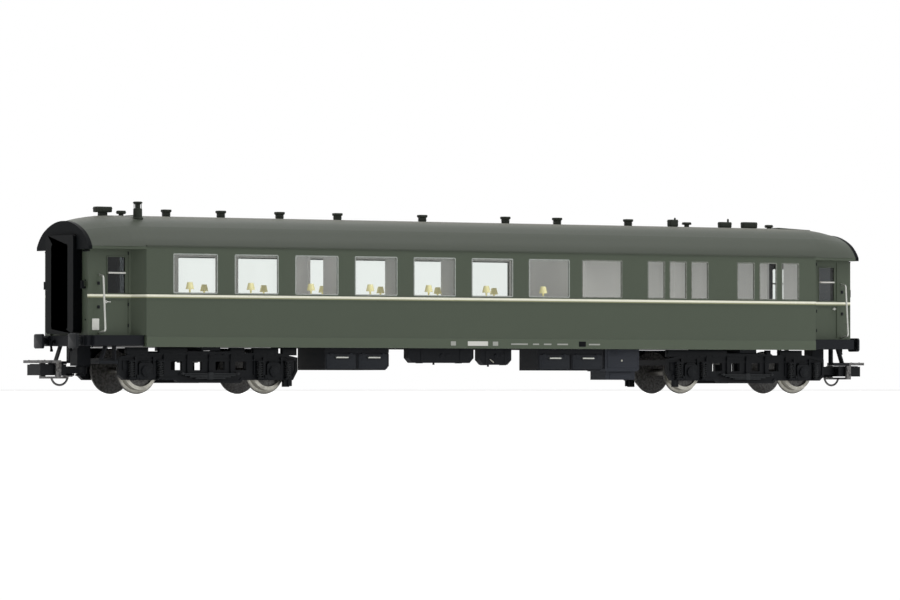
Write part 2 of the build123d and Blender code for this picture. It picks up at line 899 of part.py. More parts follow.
def make_roof_boxes():
    """Vents and tank fillers along the ridge; a box with a foot stands on a narrow stem."""
    found = []
    for number, (sign, inset, length, width, height, foot) in enumerate(roof_boxes):
        middle = sign * (half_length - inset)
        x0 = middle - length / 2
        x1 = middle + length / 2
        box = block(x0, x1, -width / 2, width / 2, ridge_z + foot, ridge_z + height)
        box = chamfer(box.edges().filter_by(Axis.X).group_by(Axis.Z)[-1], box_chamfer)
        stem = length / 4 if foot else length / 2
        box += block(middle - stem, middle + stem, -width / 4, width / 4,
                     ridge_z - roof_rise / 4, ridge_z + height - box_chamfer)
        for carrier, offset_x, spike_height in roof_spikes:
            if carrier == number:
                box += drum(middle + offset_x, 0, ridge_z, ridge_z + spike_height, spike_radius)
        found.append(box - solid_roof)
    return found


def make_chimney():
    """The kitchen stove's chimney on the near slope: jacket, neck and cap."""
    x = chimney_inset - half_length
    foot = eaves_z + roof_rise / 2
    pipe = drum(x, chimney_y, foot, ridge_z + chimney_step, chimney_radius)
    pipe += drum(x, chimney_y, foot, ridge_z + chimney_top, chimney_neck_radius)
    pipe += drum(x, chimney_y, ridge_z + chimney_cap_foot, ridge_z + chimney_top,
                 chimney_cap_radius)
    return pipe - solid_roof


def make_roof_plates():
    """Flat walkway plates that rest on the ridge, with holes for the vents' stems."""
    found = []
    for sign, outer, inner, width in roof_plates:
        plate = block(sign * (half_length - inner), sign * (half_length - outer),
                      -width / 2, width / 2, ridge_z, ridge_z + roof_plate_thickness)
        for box in make_roof_boxes():
            plate -= box
        found.append(plate)
    return found


# Underfloor equipment, all on the near side
def make_battery_boxes():
    """Battery boxes with two doors each under a lid line; the foot of end b's side is bevelled."""
    found = []
    for x0, x1, depth in battery_boxes:
        box = block(x0, x1, battery_y, battery_y + depth, rail + battery_bottom, floor_z)
        foot = box.edges().filter_by(Axis.Y).group_by(Axis.Z)[0].sort_by(Axis.X)[-1]
        box = chamfer(foot, battery_chamfer)
        middle = (x0 + x1) / 2
        box -= block(middle - battery_groove / 2, middle + battery_groove / 2,
                     battery_y - 1, battery_y + battery_groove, rail, rail + battery_lid_height)
        box -= block(x0 - 1, x1 + 1, battery_y - 1, battery_y + battery_groove,
                     rail + battery_lid_height, rail + battery_lid_height + battery_groove)
        found.append(box)
    return found


def make_handles():
    """A handle on each battery door: a bar on two short feet."""
    z = rail + handle_height
    outer = battery_y - handle_standoff
    found = []
    for x0, x1, depth in battery_boxes:
        for part in (0.25, 0.75):
            x = x0 + (x1 - x0) * part
            bar = rod((x - handle_length / 2, outer, z), (x + handle_length / 2, outer, z),
                      handle_radius)
            for sign in sides:
                end = x + sign * (handle_length / 2 - 2 * handle_radius)
                bar += rod((end, battery_y, z), (end, outer, z), handle_foot_radius)
            found.append(bar)
    return found


def make_tanks():
    y0 = tank_face_inset - half_width
    found = []
    for x0, x1, bottom in tanks:
        tank = block(x0, x1, y0, y0 + tank_depth, rail + bottom, floor_z)
        edges = tank.edges().filter_by(Axis.Y).group_by(Axis.Z)[0]
        found.append(chamfer(edges, tank_chamfer))
    return found


def make_equipment_box():
    """The apparatus box and the lower case hung under it, set back from its face."""
    y0 = equipment_face_inset - half_width
    bottom = rail + equipment_bottom
    box = block(equipment_x, equipment_end, y0, y0 + equipment_depth, bottom, floor_z)
    box = chamfer(box.edges().filter_by(Axis.Y).group_by(Axis.Z)[0], equipment_chamfer)
    middle = (equipment_x + equipment_end) / 2
    return box + block(middle - equipment_foot_length / 2, middle + equipment_foot_length / 2,
                       y0 + equipment_foot_setback, y0 + equipment_depth - equipment_foot_setback,
                       rail + equipment_foot_bottom, bottom)


# Door steps, grab rails and hoses, at end b's far side
def make_steps():
    """A tread on two flat hangers: an upright inner one and a raked outer one."""
    z = rail + step_height
    x0 = half_length - step_inner_inset
    x1 = half_length - step_outer_inset
    y0 = step_y - step_depth
    step = block(x0, x1, y0, step_y, z - step_thickness, z)
    outer = x1 - hanger_inset - hanger_thickness
    for foot, lean in ((x0, 0.0), (outer, hanger_lean)):
        outline = (
            (foot, z - step_thickness), (foot + hanger_thickness, z - step_thickness),
            (foot + hanger_thickness - lean, platform_z), (foot - lean, platform_z),
        )
        step += upright(outline, y0, y0 + hanger_width)
    return four_corners(step)


def make_grab_rails():
    """Bent wire rails that stand further off the wall at the foot than at the top."""
    x = half_length - grab_inset
    inside = vestibule_half - body_wall
    z0 = rail + grab_foot
    z1 = rail + grab_top
    path = FilletPolyline(
        (x, inside, z0 - grab_bracket), (x, vestibule_half + grab_foot_standoff, z0),
        (x, vestibule_half + grab_top_standoff, z1), (x, inside, z1 + grab_bracket),
        radius=rail_bend)
    wire = sweep(Plane(origin=path @ 0, z_dir=path % 0) * Circle(rail_radius), path=path)
    wire -= block(x - 1, x + 1, 0, vestibule_half, rail, eaves_z)
    return four_corners(wire)


def make_hoses():
    top = vestibule_sole_z - hose_from_top
    path = FilletPolyline((beam_x, hose_y, top), (beam_x + hose_reach, hose_y, top),
                          (beam_x + hose_reach, hose_y, top - hose_drop), radius=hose_bend)
    hose = sweep(Plane(origin=path @ 0, z_dir=path % 0) * Circle(hose_radius), path=path)
    return four_corners(hose)


# Bogies, built about their own pivot as at end b, so that -X is the inner end
def frame_outline():
    """The deep side frame from the side: raised crown, drooping ends, cut-away feet."""
    end = bogie_half_length
    shoulder = frame_crown_half + frame_crown_slope
    waist = frame_centre_half + frame_crown_slope / 2
    return [
        (end, frame_outer_foot), (end, frame_end_top), (end - frame_end_slope, frame_top),
        (shoulder, frame_top), (frame_crown_half, frame_crown),
        (-frame_crown_half, frame_crown), (-shoulder, frame_top),
        (frame_end_slope - end, frame_top), (-end, frame_end_top), (-end, frame_inner_foot),
        (frame_foot_slope - end, frame_bottom), (-waist, frame_bottom),
        (-frame_centre_half, frame_centre_bottom), (frame_centre_half, frame_centre_bottom),
        (waist, frame_bottom), (end - frame_foot_slope, frame_bottom),
    ]


def side_frame():
    """One side frame with its raised rim, ledge and slots, facing +Y."""
    outline = make_face(Polyline(*[(x, rail + z) for x, z in frame_outline()], close=True))
    inner = offset(outline, amount=-frame_rim_width, kind=Kind.INTERSECTION)
    plate = extrude(Plane.XZ * outline, amount=-(frame_plate + frame_rim))
    plate -= Pos(0, frame_plate, 0) * extrude(Plane.XZ * inner, amount=-frame_rim)
    plate = Pos(0, frame_inner_y, 0) * plate
    ledge = bogie_half_length - frame_rim_width
    plate += block(-ledge, ledge, frame_face_y, frame_face_y + frame_rim,
                   rail + frame_ledge_height, rail + frame_ledge_height + frame_ledge_width)
    plate += block(-guard_place - guard_length / 2, -guard_place + guard_length / 2,
                   frame_inner_y, frame_face_y, rail + guard_bottom,
                   rail + frame_bottom + frame_rim_width)
    for x0, x1 in frame_holes:
        for sign in sides:
            plate -= block(sign * x0, sign * x1, 0, frame_face_y + 1,
                           rail + frame_hole_foot, rail + frame_hole_top)
    return plate


def axlebox(x):
    """Box over one journal with its lid, horn guides and the pans of its coil springs."""
    outer = frame_face_y + axlebox_proud
    half = axlebox_width / 2
    z0 = axle_z - axlebox_height / 2
    box = rounded_block(x - half, x + half, frame_face_y, outer - axlebox_lid_thickness,
                        z0, z0 + axlebox_height, axlebox_corner, Axis.Y)
    box += rod((x, frame_face_y, axle_z), (x, outer, axle_z), axlebox_lid_radius)
    for sign in sides:
        horn = x + sign * horn_offset
        box += block(horn - horn_width / 2, horn + horn_width / 2, frame_inner_y,
                     frame_face_y + horn_proud, rail + frame_bottom,
                     rail + frame_bottom + horn_height)
        coil = x + sign * coil_offset
        for z in (coil_bottom - coil_pan_thickness, coil_top):
            box += block(coil - coil_pan_half, coil + coil_pan_half, frame_inner_y,
                         frame_face_y + 2 * coil_radius, rail + z, rail + z + coil_pan_thickness)
    return box


def journal_bore(x):
    tip = frame_inner_y - axle_side_play + journal_length
    return rod((x, frame_inner_y - 1, axle_z), (x, tip + 2 * axle_side_play, axle_z),
               journal_radius + journal_clearance)


def make_bogie_frame():
    frame = side_frame()
    for sign in sides:
        frame += axlebox(sign * wheelbase / 2)
    for sign in sides:
        frame -= journal_bore(sign * wheelbase / 2)
    frame = frame + other_side(frame)
    reach = frame_inner_y + cross_lap
    frame += block(-bolster_half, bolster_half, -reach, reach, bolster_bottom, bolster_top)
    for sign in sides:
        frame += block(sign * (bogie_half_length - end_beam_thickness), sign * bogie_half_length,
                       -reach, reach, rail + end_beam_foot,
                       rail + end_beam_foot + end_beam_depth)
    return frame - drum(0, 0, rail, floor_z, pivot_radius + pivot_clearance)


def make_bogie_springs():
    """Coil springs between their pans, and a leaf pack in its buckle under the bolster."""
    found = []
    for sign in sides:
        for axle_sign in sides:
            for place in sides:
                x = axle_sign * wheelbase / 2 + place * coil_offset
                found.append(drum(x, sign * (frame_face_y + coil_radius),
                                  rail + coil_bottom, rail + coil_top, coil_radius))
    top = leaf_bottom + leaf_thickness * len(leaf_half_lengths)
    pack = block(-buckle_half, buckle_half, frame_face_y, frame_face_y + leaf_width + buckle_margin,
                 rail + leaf_bottom - buckle_margin, rail + top + buckle_margin)
    for i, half in enumerate(leaf_half_lengths):
        z = rail + top - (i + 1) * leaf_thickness
        pack += block(-half, half, frame_face_y, frame_face_y + leaf_width, z, z + leaf_thickness)
    return found + [pack, other_side(pack)]


def make_brakes():
    """Brake shoes inside the wheels, curved to the treads and carried by the side frames."""
    found = []
    y0 = back_to_back / 2 + flange_width + shoe_clearance
    y1 = back_to_back / 2 + tyre_width
    half = shoe_height / 2
    for sign in sides:
        axle = sign * wheelbase / 2
        near = axle - sign * (tread_radius - shoe_thickness)
        far = axle - sign * (tread_radius + shoe_clearance + shoe_thickness)
        shoe = block(near, far, y0, y1, axle_z - half, axle_z + half)
        shoe -= rod((axle, 0, axle_z), (axle, frame_inner_y, axle_z),
                    tread_radius + shoe_clearance)
        shoe += block(far + sign * shoe_hanger, far, y0, frame_inner_y,
                      axle_z + half - shoe_hanger_height, axle_z + half)
        found += [shoe, other_side(shoe)]
    return found


def make_wheel():
    """One wheel turned about its axle: flange, coned tread, dished web and hub."""
    back = back_to_back / 2
    face = back + tyre_width
    web = face - web_recess
    inner_rim = tread_radius - rim_thickness
    nip = 0.15
    section = make_face(Polyline(
        (axle_radius, back), (flange_radius - 2 * nip, back), (flange_radius, back + 2 * nip),
        (flange_radius - nip, back + flange_width - nip), (tread_radius, back + flange_width),
        (tread_radius - nip, face), (inner_rim, face), (inner_rim - nip, web),
        (hub_radius + nip, web), (hub_radius, face - nip), (axle_radius, face - nip),
        close=True))
    return revolve(section, Axis.Y)


def make_axle():
    end = frame_inner_y - axle_side_play
    tip = end + journal_length
    return rod((0, -end, 0), (0, end, 0), axle_radius) + rod((0, -tip, 0), (0, tip, 0), journal_radius)


# Couplers, at end b
def make_coupler_head():
    """A shank with a pivot eye, an open-topped head with a hook rib, and the bail's pins."""
    half = shank_thickness / 2
    half_head = head_height / 2
    side = head_width / 2
    top = coupler_z + half_head
    body = block(coupler_pivot_x, head_start + head_wall / 2, -shank_width / 2, shank_width / 2,
                 coupler_z - half, coupler_z + half)
    body += drum(coupler_pivot_x, 0, coupler_z - half, coupler_z + half, coupler_eye_radius)
    pins = rod((bail_pivot_x, -bail_width / 2, coupler_z), (bail_pivot_x, bail_width / 2, coupler_z),
               bail_pin_radius)
    head = block(head_start, head_end, -side, side, coupler_z - half_head, top)
    cavity = block(head_start + head_wall, head_end - head_wall, -side + head_wall,
                   side - head_wall, coupler_z - half_head + head_wall, top + 1)
    rib = block(head_start, head_end, -hook_width / 2, hook_width / 2, coupler_z - half, top)
    body += (head + pins) - cavity + rib
    return body - drum(coupler_pivot_x, 0, rail, floor_z, coupler_pin_radius + coupler_pin_clearance)


def make_bail():
    """Lifting loop: a flat frame on two arms, with a tail ring behind the head's foot."""
    half = bail_width / 2
    wire = bail_wire
    top = rail + bail_height + wire
    back = bail_pivot_x - bail_arm_width / 2
    front = bail_pivot_x + bail_arm_width / 2
    bar_top = coupler_z - head_height / 2 - bail_head_gap
    bar_foot = bar_top - tail_ring_wire
    loop = block(back, bail_end, -half, half, top - wire, top)
    loop -= block(back + wire, bail_end - wire, -half + wire, half - wire, rail, top + 1)
    for sign in sides:
        loop += block(back, front, sign * half, sign * (half - wire), bar_foot, top)
    loop += block(back, front, -half, half, bar_foot, bar_top)
    loop += block(tail_ring_x - tail_ring_radius, front, -tail_bar_width / 2, tail_bar_width / 2,
                  bar_foot, bar_top)
    ring = Pos(tail_ring_x, 0, rail + tail_ring_height) * Rot(90, 0, 0) * Torus(
        tail_ring_radius, tail_ring_wire / 2)
    reach = tail_ring_radius + tail_ring_wire
    loop += ring & block(tail_ring_x - reach, tail_ring_x + reach, -wire, wire, 0, bar_top)
    return loop - rod((bail_pivot_x, -half - 1, coupler_z), (bail_pivot_x, half + 1, coupler_z),
                      bail_pin_radius + bail_pin_clearance)


os.makedirs("parts", exist_ok=True)

save("body_shell", make_body_shell())
save("roof", make_roof())
save("roof_end_panels", make_end_panels())
save("gangway_bellows", make_bellows())
save("gangway_doors", make_gangway_doors())
save("lamp_brackets", make_lamp_brackets())
save("glazing", make_glazing())
save("window_frames", make_window_frames())
save("door_glass", make_door_glass())
save("door_bars", make_door_bars())
save("underframe", make_underframe())
save("pivot_screws", make_retainers())
save("buffer_beams", make_buffer_beams())
save("buffers", make_buffers())
save("interior_tray", make_tray())
save("chairs", make_chairs())
save("tables", make_tables())
save("table_lamps", make_table_lamps())
save("roof_ventilators", make_ventilators())
save("roof_boxes", make_roof_boxes())
save("stove_chimney", make_chimney())
save("roof_plate", make_roof_plates())
save("battery_boxes", make_battery_boxes())
save("box_handles", make_handles())
save("tanks", make_tanks())
save("equipment_box", make_equipment_box())
save("entry_steps", make_steps())
save("grab_rails", make_grab_rails())
save("brake_hoses", make_hoses())

frame = make_bogie_frame()
springs = make_bogie_springs()
brakes = make_brakes()
wheel = make_wheel()
axle = make_axle()
coupler_head = make_coupler_head()
bail = make_bail()


def at_end(shape, sign):
    """A shape made about the pivot for end b, set on its pivot at either end."""
    turned = shape if sign > 0 else other_end(shape)
    return Pos(sign * pivot_x, 0, 0) * turned


for name, sign in ends:
    save("bogie_" + name + "_frame", at_end(frame, sign))
    save("bogie_" + name + "_springs", [at_end(item, sign) for item in springs])
    save("bogie_" + name + "_brakes", [at_end(item, sign) for item in brakes])
    save("coupler_" + name + "_head", coupler_head if sign > 0 else other_end(coupler_head))
    save("coupler_" + name + "_bail", bail if sign > 0 else other_end(bail))

axle_places = [sign * pivot_x + axle_sign * wheelbase / 2
               for name, sign in ends for axle_sign in sides]
for number, x in enumerate(axle_places, start=1):
    place = Pos(x, 0, axle_z)
    save("axle_" + str(number), place * axle)
    save("wheels_" + str(number), place * wheel, place * other_side(wheel))
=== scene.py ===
import bmesh
import bpy
import math
from mathutils import Matrix, Vector
from mathutils.geometry import interpolate_bezier


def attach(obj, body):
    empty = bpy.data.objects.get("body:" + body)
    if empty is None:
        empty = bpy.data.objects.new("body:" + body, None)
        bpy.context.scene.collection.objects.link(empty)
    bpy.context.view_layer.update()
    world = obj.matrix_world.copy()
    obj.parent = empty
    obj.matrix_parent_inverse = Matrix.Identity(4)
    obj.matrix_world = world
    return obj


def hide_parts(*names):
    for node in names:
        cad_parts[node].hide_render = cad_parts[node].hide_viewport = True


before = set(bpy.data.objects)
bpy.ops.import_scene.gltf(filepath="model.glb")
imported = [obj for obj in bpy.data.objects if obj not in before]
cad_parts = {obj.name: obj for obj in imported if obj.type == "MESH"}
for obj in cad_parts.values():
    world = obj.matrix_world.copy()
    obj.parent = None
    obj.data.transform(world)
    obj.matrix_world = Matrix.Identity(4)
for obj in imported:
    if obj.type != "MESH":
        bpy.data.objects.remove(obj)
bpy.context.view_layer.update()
mm = 0.001

# the coach's own levels and faces, in millimetres, as the solids have them
coach = {
    "halfLength": 130.8, "fullHalf": 115.2, "slant": 2.6, "halfWidth": 16.75, "vestibuleHalf": 12.6,
    "sole": 13.1, "vestibuleSole": 16.3, "belt": 26.35, "ridge": 50.0, "beamX": 132.0, "doorX": 122.4,
    "pivotX": 92.6, "wheelbase": 41.3, "axleZ": 6.4, "frameFace": 12.1, "frameHalf": 28.8,
    "bays": 7, "bayFirst": -99.5, "bayPitch": 19.75, "trayTop": 16.3, "tableTop": 26.6, "lampY": 13.15,
}
bayPlaces = [coach["bayFirst"] + i * coach["bayPitch"] for i in range(coach["bays"])]
signs = (-1, 1)
corners = [(sign, side) for sign in signs for side in signs]
ends = (("a", -1), ("b", 1))
# roof pieces stay this far under the solids' tops
tuck = 0.01


def srgb(red, green, blue):
    values = []
    for part in (red, green, blue):
        part = part / 255
        values.append(part / 12.92 if part <= 0.04045 else ((part + 0.055) / 1.055) ** 2.4)
    return (*values, 1.0)


def axleX(sign, axleSign):
    return sign * coach["pivotX"] + axleSign * coach["wheelbase"] / 2


# Node helpers
def newGroup(name, inputs, outputs):
    group = bpy.data.node_groups.new(name, "ShaderNodeTree")
    for kind, label, value in inputs:
        socket = group.interface.new_socket(name=label, in_out="INPUT", socket_type=kind)
        if value is not None:
            socket.default_value = value
    for kind, label in outputs:
        group.interface.new_socket(name=label, in_out="OUTPUT", socket_type=kind)
    return group, group.nodes.new("NodeGroupInput"), group.nodes.new("NodeGroupOutput")


def addNode(tree, kind, settings=None, **inputs):
    node = tree.nodes.new(kind)
    for key, value in (settings or {}).items():
        setattr(node, key, value)
    for key, value in inputs.items():
        socket = node.inputs[int(key[1:])] if key[0] == "i" and key[1:].isdigit() else node.inputs[key]
        if isinstance(value, bpy.types.NodeSocket):
            tree.links.new(value, socket)
        else:
            socket.default_value = value
    return node


def calc(tree, operation, a, b=0.0, clamp=False):
    node = addNode(tree, "ShaderNodeMath", {"operation": operation, "use_clamp": clamp}, i0=a, i1=b)
    return node.outputs[0]


def mixColor(tree, factor, a, b, blend="MIX"):
    node = addNode(tree, "ShaderNodeMix", {"data_type": "RGBA", "blend_type": blend}, i0=factor, i6=a, i7=b)
    return node.outputs[2]


def ramp(tree, value, low, high, lowTo=0.0, highTo=1.0):
    node = addNode(tree, "ShaderNodeMapRange", {"interpolation_type": "SMOOTHSTEP"},
                   i0=value, i1=low, i2=high, i3=lowTo, i4=highTo)
    return node.outputs[0]


def makeFinishGroup():
    # the skin of a moulded or sprayed part: blotches, fine grain, and a pale dust colour on what looks up,
    # which on the roof is also a painted highlight
    group, given, out = newGroup("mouldedFinish", (
        ("NodeSocketVector", "Vector", None), ("NodeSocketColor", "Color", None),
        ("NodeSocketFloat", "Blotch", 0.1), ("NodeSocketFloat", "Grain", 0.1),
        ("NodeSocketFloat", "Scale", 1.0), ("NodeSocketFloat", "Rough", 0.5),
        ("NodeSocketFloat", "Dust", 0.1), ("NodeSocketFloat", "DustStart", 0.55),
        ("NodeSocketFloat", "Depth", 0.004)),
        (("NodeSocketColor", "Color"), ("NodeSocketFloat", "Roughness"), ("NodeSocketVector", "Normal")))
    where = given.outputs["Vector"]
    wide = addNode(group, "ShaderNodeTexNoise", Vector=where, Detail=3.0,
                   Scale=calc(group, "MULTIPLY", given.outputs["Scale"], 90.0)).outputs["Fac"]
    fine = addNode(group, "ShaderNodeTexNoise", Vector=where, Detail=4.0, Roughness=0.6,
                   Scale=calc(group, "MULTIPLY", given.outputs["Scale"], 2600.0)).outputs["Fac"]
    peel = addNode(group, "ShaderNodeTexNoise", Vector=where, Detail=2.0,
                   Scale=calc(group, "MULTIPLY", given.outputs["Scale"], 1300.0)).outputs["Fac"]
    wideShift = calc(group, "MULTIPLY", calc(group, "SUBTRACT", wide, 0.5), given.outputs["Blotch"])
    fineShift = calc(group, "MULTIPLY", calc(group, "SUBTRACT", fine, 0.5), given.outputs["Grain"])
    tone = calc(group, "ADD", calc(group, "ADD", wideShift, fineShift), 1.0)
    toned = addNode(group, "ShaderNodeVectorMath", {"operation": "SCALE"},
                    i0=given.outputs["Color"], Scale=tone).outputs[0]
    facing = addNode(group, "ShaderNodeNewGeometry").outputs["Normal"]
    upward = ramp(group, addNode(group, "ShaderNodeSeparateXYZ", i0=facing).outputs[2],
                  given.outputs["DustStart"], 1.0)
    # pale colour on upward faces: real dust, and on the roof a painted highlight along the ridge
    dustAndSheenCover = calc(group, "MULTIPLY", calc(group, "MULTIPLY", upward, given.outputs["Dust"]),
                   ramp(group, wide, 0.35, 0.7, 0.75, 1.0), clamp=True)
    color = mixColor(group, dustAndSheenCover, toned, srgb(150, 148, 140))
    rough = calc(group, "ADD", calc(group, "MULTIPLY", calc(group, "SUBTRACT", fine, 0.5), 0.25),
                 given.outputs["Rough"])
    rough = calc(group, "ADD", rough, calc(group, "MULTIPLY", dustAndSheenCover, 0.5), clamp=True)
    height = calc(group, "ADD", calc(group, "MULTIPLY", fine, 0.4), peel)
    bump = addNode(group, "ShaderNodeBump", Height=height, Strength=1.0,
                   Distance=calc(group, "MULTIPLY", given.outputs["Depth"], mm))
    group.links.new(color, out.inputs["Color"])
    group.links.new(rough, out.inputs["Roughness"])
    group.links.new(bump.outputs[0], out.inputs["Normal"])
    return group


def makeBrushGroup():
    # turned or drawn metal: fine rings round the Y axis or streaks along one axis
    group, given, out = newGroup("turnedMetal", (
        ("NodeSocketVector", "Vector", None), ("NodeSocketColor", "Color", None),
        ("NodeSocketFloat", "Rough", 0.35), ("NodeSocketFloat", "Stain", 0.2)),
        (("NodeSocketColor", "Color"), ("NodeSocketFloat", "Roughness"), ("NodeSocketVector", "Normal")))
    where = given.outputs["Vector"]
    stretched = addNode(group, "ShaderNodeMapping", i0=where, Scale=(1.0, 9.0, 1.0)).outputs[0]
    streak = addNode(group, "ShaderNodeTexNoise", Vector=stretched, Scale=1500.0, Detail=3.0).outputs["Fac"]
    blot = addNode(group, "ShaderNodeTexNoise", Vector=where, Scale=420.0, Detail=4.0).outputs["Fac"]
    stain = calc(group, "MULTIPLY", ramp(group, blot, 0.45, 0.72), given.outputs["Stain"])
    dark = mixColor(group, stain, given.outputs["Color"], srgb(70, 62, 52))
    color = mixColor(group, calc(group, "MULTIPLY", ramp(group, streak, 0.3, 0.7), 0.18), dark,
                     srgb(225, 224, 220))
    rough = calc(group, "ADD", calc(group, "MULTIPLY", calc(group, "SUBTRACT", streak, 0.5), 0.3),
                 given.outputs["Rough"])
    rough = calc(group, "ADD", rough, calc(group, "MULTIPLY", stain, 0.6), clamp=True)
    bump = addNode(group, "ShaderNodeBump", Height=streak, Strength=0.6, Distance=0.003 * mm)
    group.links.new(color, out.inputs["Color"])
    group.links.new(rough, out.inputs["Roughness"])
    group.links.new(bump.outputs[0], out.inputs["Normal"])
    return group


finishGroup = makeFinishGroup()
brushGroup = makeBrushGroup()


def startMaterial(name):
    material = bpy.data.materials.new(name)
    material.use_nodes = True
    tree = material.node_tree
    shader = tree.nodes["Principled BSDF"]
    where = addNode(tree, "ShaderNodeTexCoord").outputs["Object"]
    return material, tree, shader, where


def dressShader(tree, shader, group, where, color, **values):
    node = addNode(tree, "ShaderNodeGroup", {"node_tree": group}, Vector=where, Color=color)
    for key, value in values.items():
        node.inputs[key].default_value = value
    tree.links.new(node.outputs["Color"], shader.inputs["Base Color"])
    tree.links.new(node.outputs["Roughness"], shader.inputs["Roughness"])
    tree.links.new(node.outputs["Normal"], shader.inputs["Normal"])


def mouldedMaterial(name, color, blotch=0.12, grain=0.12, rough=0.55, dustAndSheen=0.08, dustAndSheenStart=0.55,
                    depth=0.004, scale=1.0, coat=0.0, specular=0.4, glow=0.0):
    material, tree, shader, where = startMaterial(name)
    shader.inputs["Emission Color"].default_value = color
    shader.inputs["Emission Strength"].default_value = glow
    shader.inputs["Specular IOR Level"].default_value = specular
    shader.inputs["Coat Weight"].default_value = coat
    dressShader(tree, shader, finishGroup, where, color, Blotch=blotch, Grain=grain,
                Rough=rough, Dust=dustAndSheen, DustStart=dustAndSheenStart, Depth=depth, Scale=scale)
    return material


def metalMaterial(name, color, rough=0.35, stain=0.2, metallic=1.0):
    material, tree, shader, where = startMaterial(name)
    shader.inputs["Metallic"].default_value = metallic
    dressShader(tree, shader, brushGroup, where, color, Rough=rough, Stain=stain)
    return material


def axisParts(tree, where):
    split = addNode(tree, "ShaderNodeSeparateXYZ", i0=where)
    return [calc(tree, "DIVIDE", split.outputs[i], mm) for i in range(3)]


def bodyPaintMaterial():
    # olive sides, cream belt stripe with painted shade on its lower part, a paler band along the skirt as
    # painted light from the floor, pale inside faces with a faint painted glow
    look = {"olive": srgb(73, 82, 68), "stripe": srgb(250, 249, 230), "stripeShade": srgb(150, 152, 118),
            "stripeFoot": 0.36, "stripeTop": 1.3, "stripeMiddle": 0.68, "skirt": 2.75, "skirtBounceLight": 1.2,
            "inside": srgb(238, 237, 235), "insideGlow": 0.1, "entry": srgb(84, 86, 88),
            "edgeSoftness": 0.05}
    material, tree, shader, where = startMaterial("bodyPaint")
    shader.inputs["Specular IOR Level"].default_value = 0.3
    x, y, z = axisParts(tree, where)
    absX = calc(tree, "ABSOLUTE", x)
    absY = calc(tree, "ABSOLUTE", y)
    soft = look["edgeSoftness"]
    low = coach["belt"] + look["stripeFoot"]
    high = coach["belt"] + look["stripeTop"]
    middle = coach["belt"] + look["stripeMiddle"]
    inBelt = calc(tree, "MULTIPLY", ramp(tree, z, low - soft, low + soft),
                  ramp(tree, z, high + soft, high - soft))
    # the stripe's lower part is darker: painted shade
    stripe = mixColor(tree, ramp(tree, z, middle - soft, middle + soft), look["stripeShade"], look["stripe"])
    narrow = ramp(tree, absX, coach["fullHalf"], coach["fullHalf"] + coach["slant"])
    outer = calc(tree, "SUBTRACT", coach["halfWidth"] - 0.6,
                 calc(tree, "MULTIPLY", narrow, coach["halfWidth"] - coach["vestibuleHalf"]))
    onSide = calc(tree, "GREATER_THAN", absY, outer)
    onEnd = calc(tree, "GREATER_THAN", absX, coach["halfLength"] - 0.5)
    cutEnd = calc(tree, "MULTIPLY", calc(tree, "GREATER_THAN", absX, coach["fullHalf"] - 0.1),
                  calc(tree, "LESS_THAN", z, coach["vestibuleSole"]))
    outside = calc(tree, "MAXIMUM", calc(tree, "MAXIMUM", onSide, onEnd), cutEnd)
    # below the skirt line the olive is lighter: painted light from the floor's bounce
    edge = coach["sole"] + look["skirt"]
    lift = ramp(tree, z, edge + soft, edge - soft, 1.0, look["skirtBounceLight"])
    side = addNode(tree, "ShaderNodeVectorMath", {"operation": "SCALE"}, i0=look["olive"][:3],
                   Scale=lift).outputs[0]
    entry = calc(tree, "GREATER_THAN", absX, coach["fullHalf"] - 1.0)
    base = mixColor(tree, outside, mixColor(tree, entry, look["inside"], look["entry"]), side)
    painted = mixColor(tree, calc(tree, "MULTIPLY", inBelt, onSide), base, stripe)
    dressShader(tree, shader, finishGroup, where, painted, Blotch=0.06, Grain=0.08, Rough=0.46,
                Dust=0.1, Depth=0.003, Scale=1.0)
    # the inside faces glow faintly: painted light
    shader.inputs["Emission Color"].default_value = look["inside"]
    pale = calc(tree, "SUBTRACT", 1.0, calc(tree, "MAXIMUM", outside, entry))
    tree.links.new(calc(tree, "MULTIPLY", pale, look["insideGlow"]), shader.inputs["Emission Strength"])
    return material


def frameMaterial():
    # silver strips round the saloon's windows, dull green ones at the kitchen
    look = {"silver": srgb(140, 146, 141), "dull": srgb(88, 95, 84), "start": 27.8, "soft": 0.2,
            "metallic": 0.35}
    material, tree, shader, where = startMaterial("frameSilver")
    x = axisParts(tree, where)[0]
    kitchen = ramp(tree, x, look["start"] - look["soft"], look["start"] + look["soft"])
    color = mixColor(tree, kitchen, look["silver"], look["dull"])
    dressShader(tree, shader, brushGroup, where, color, Rough=0.42, Stain=0.1)
    bright = calc(tree, "MULTIPLY", calc(tree, "SUBTRACT", 1.0, kitchen), look["metallic"])
    tree.links.new(bright, shader.inputs["Metallic"])
    return material


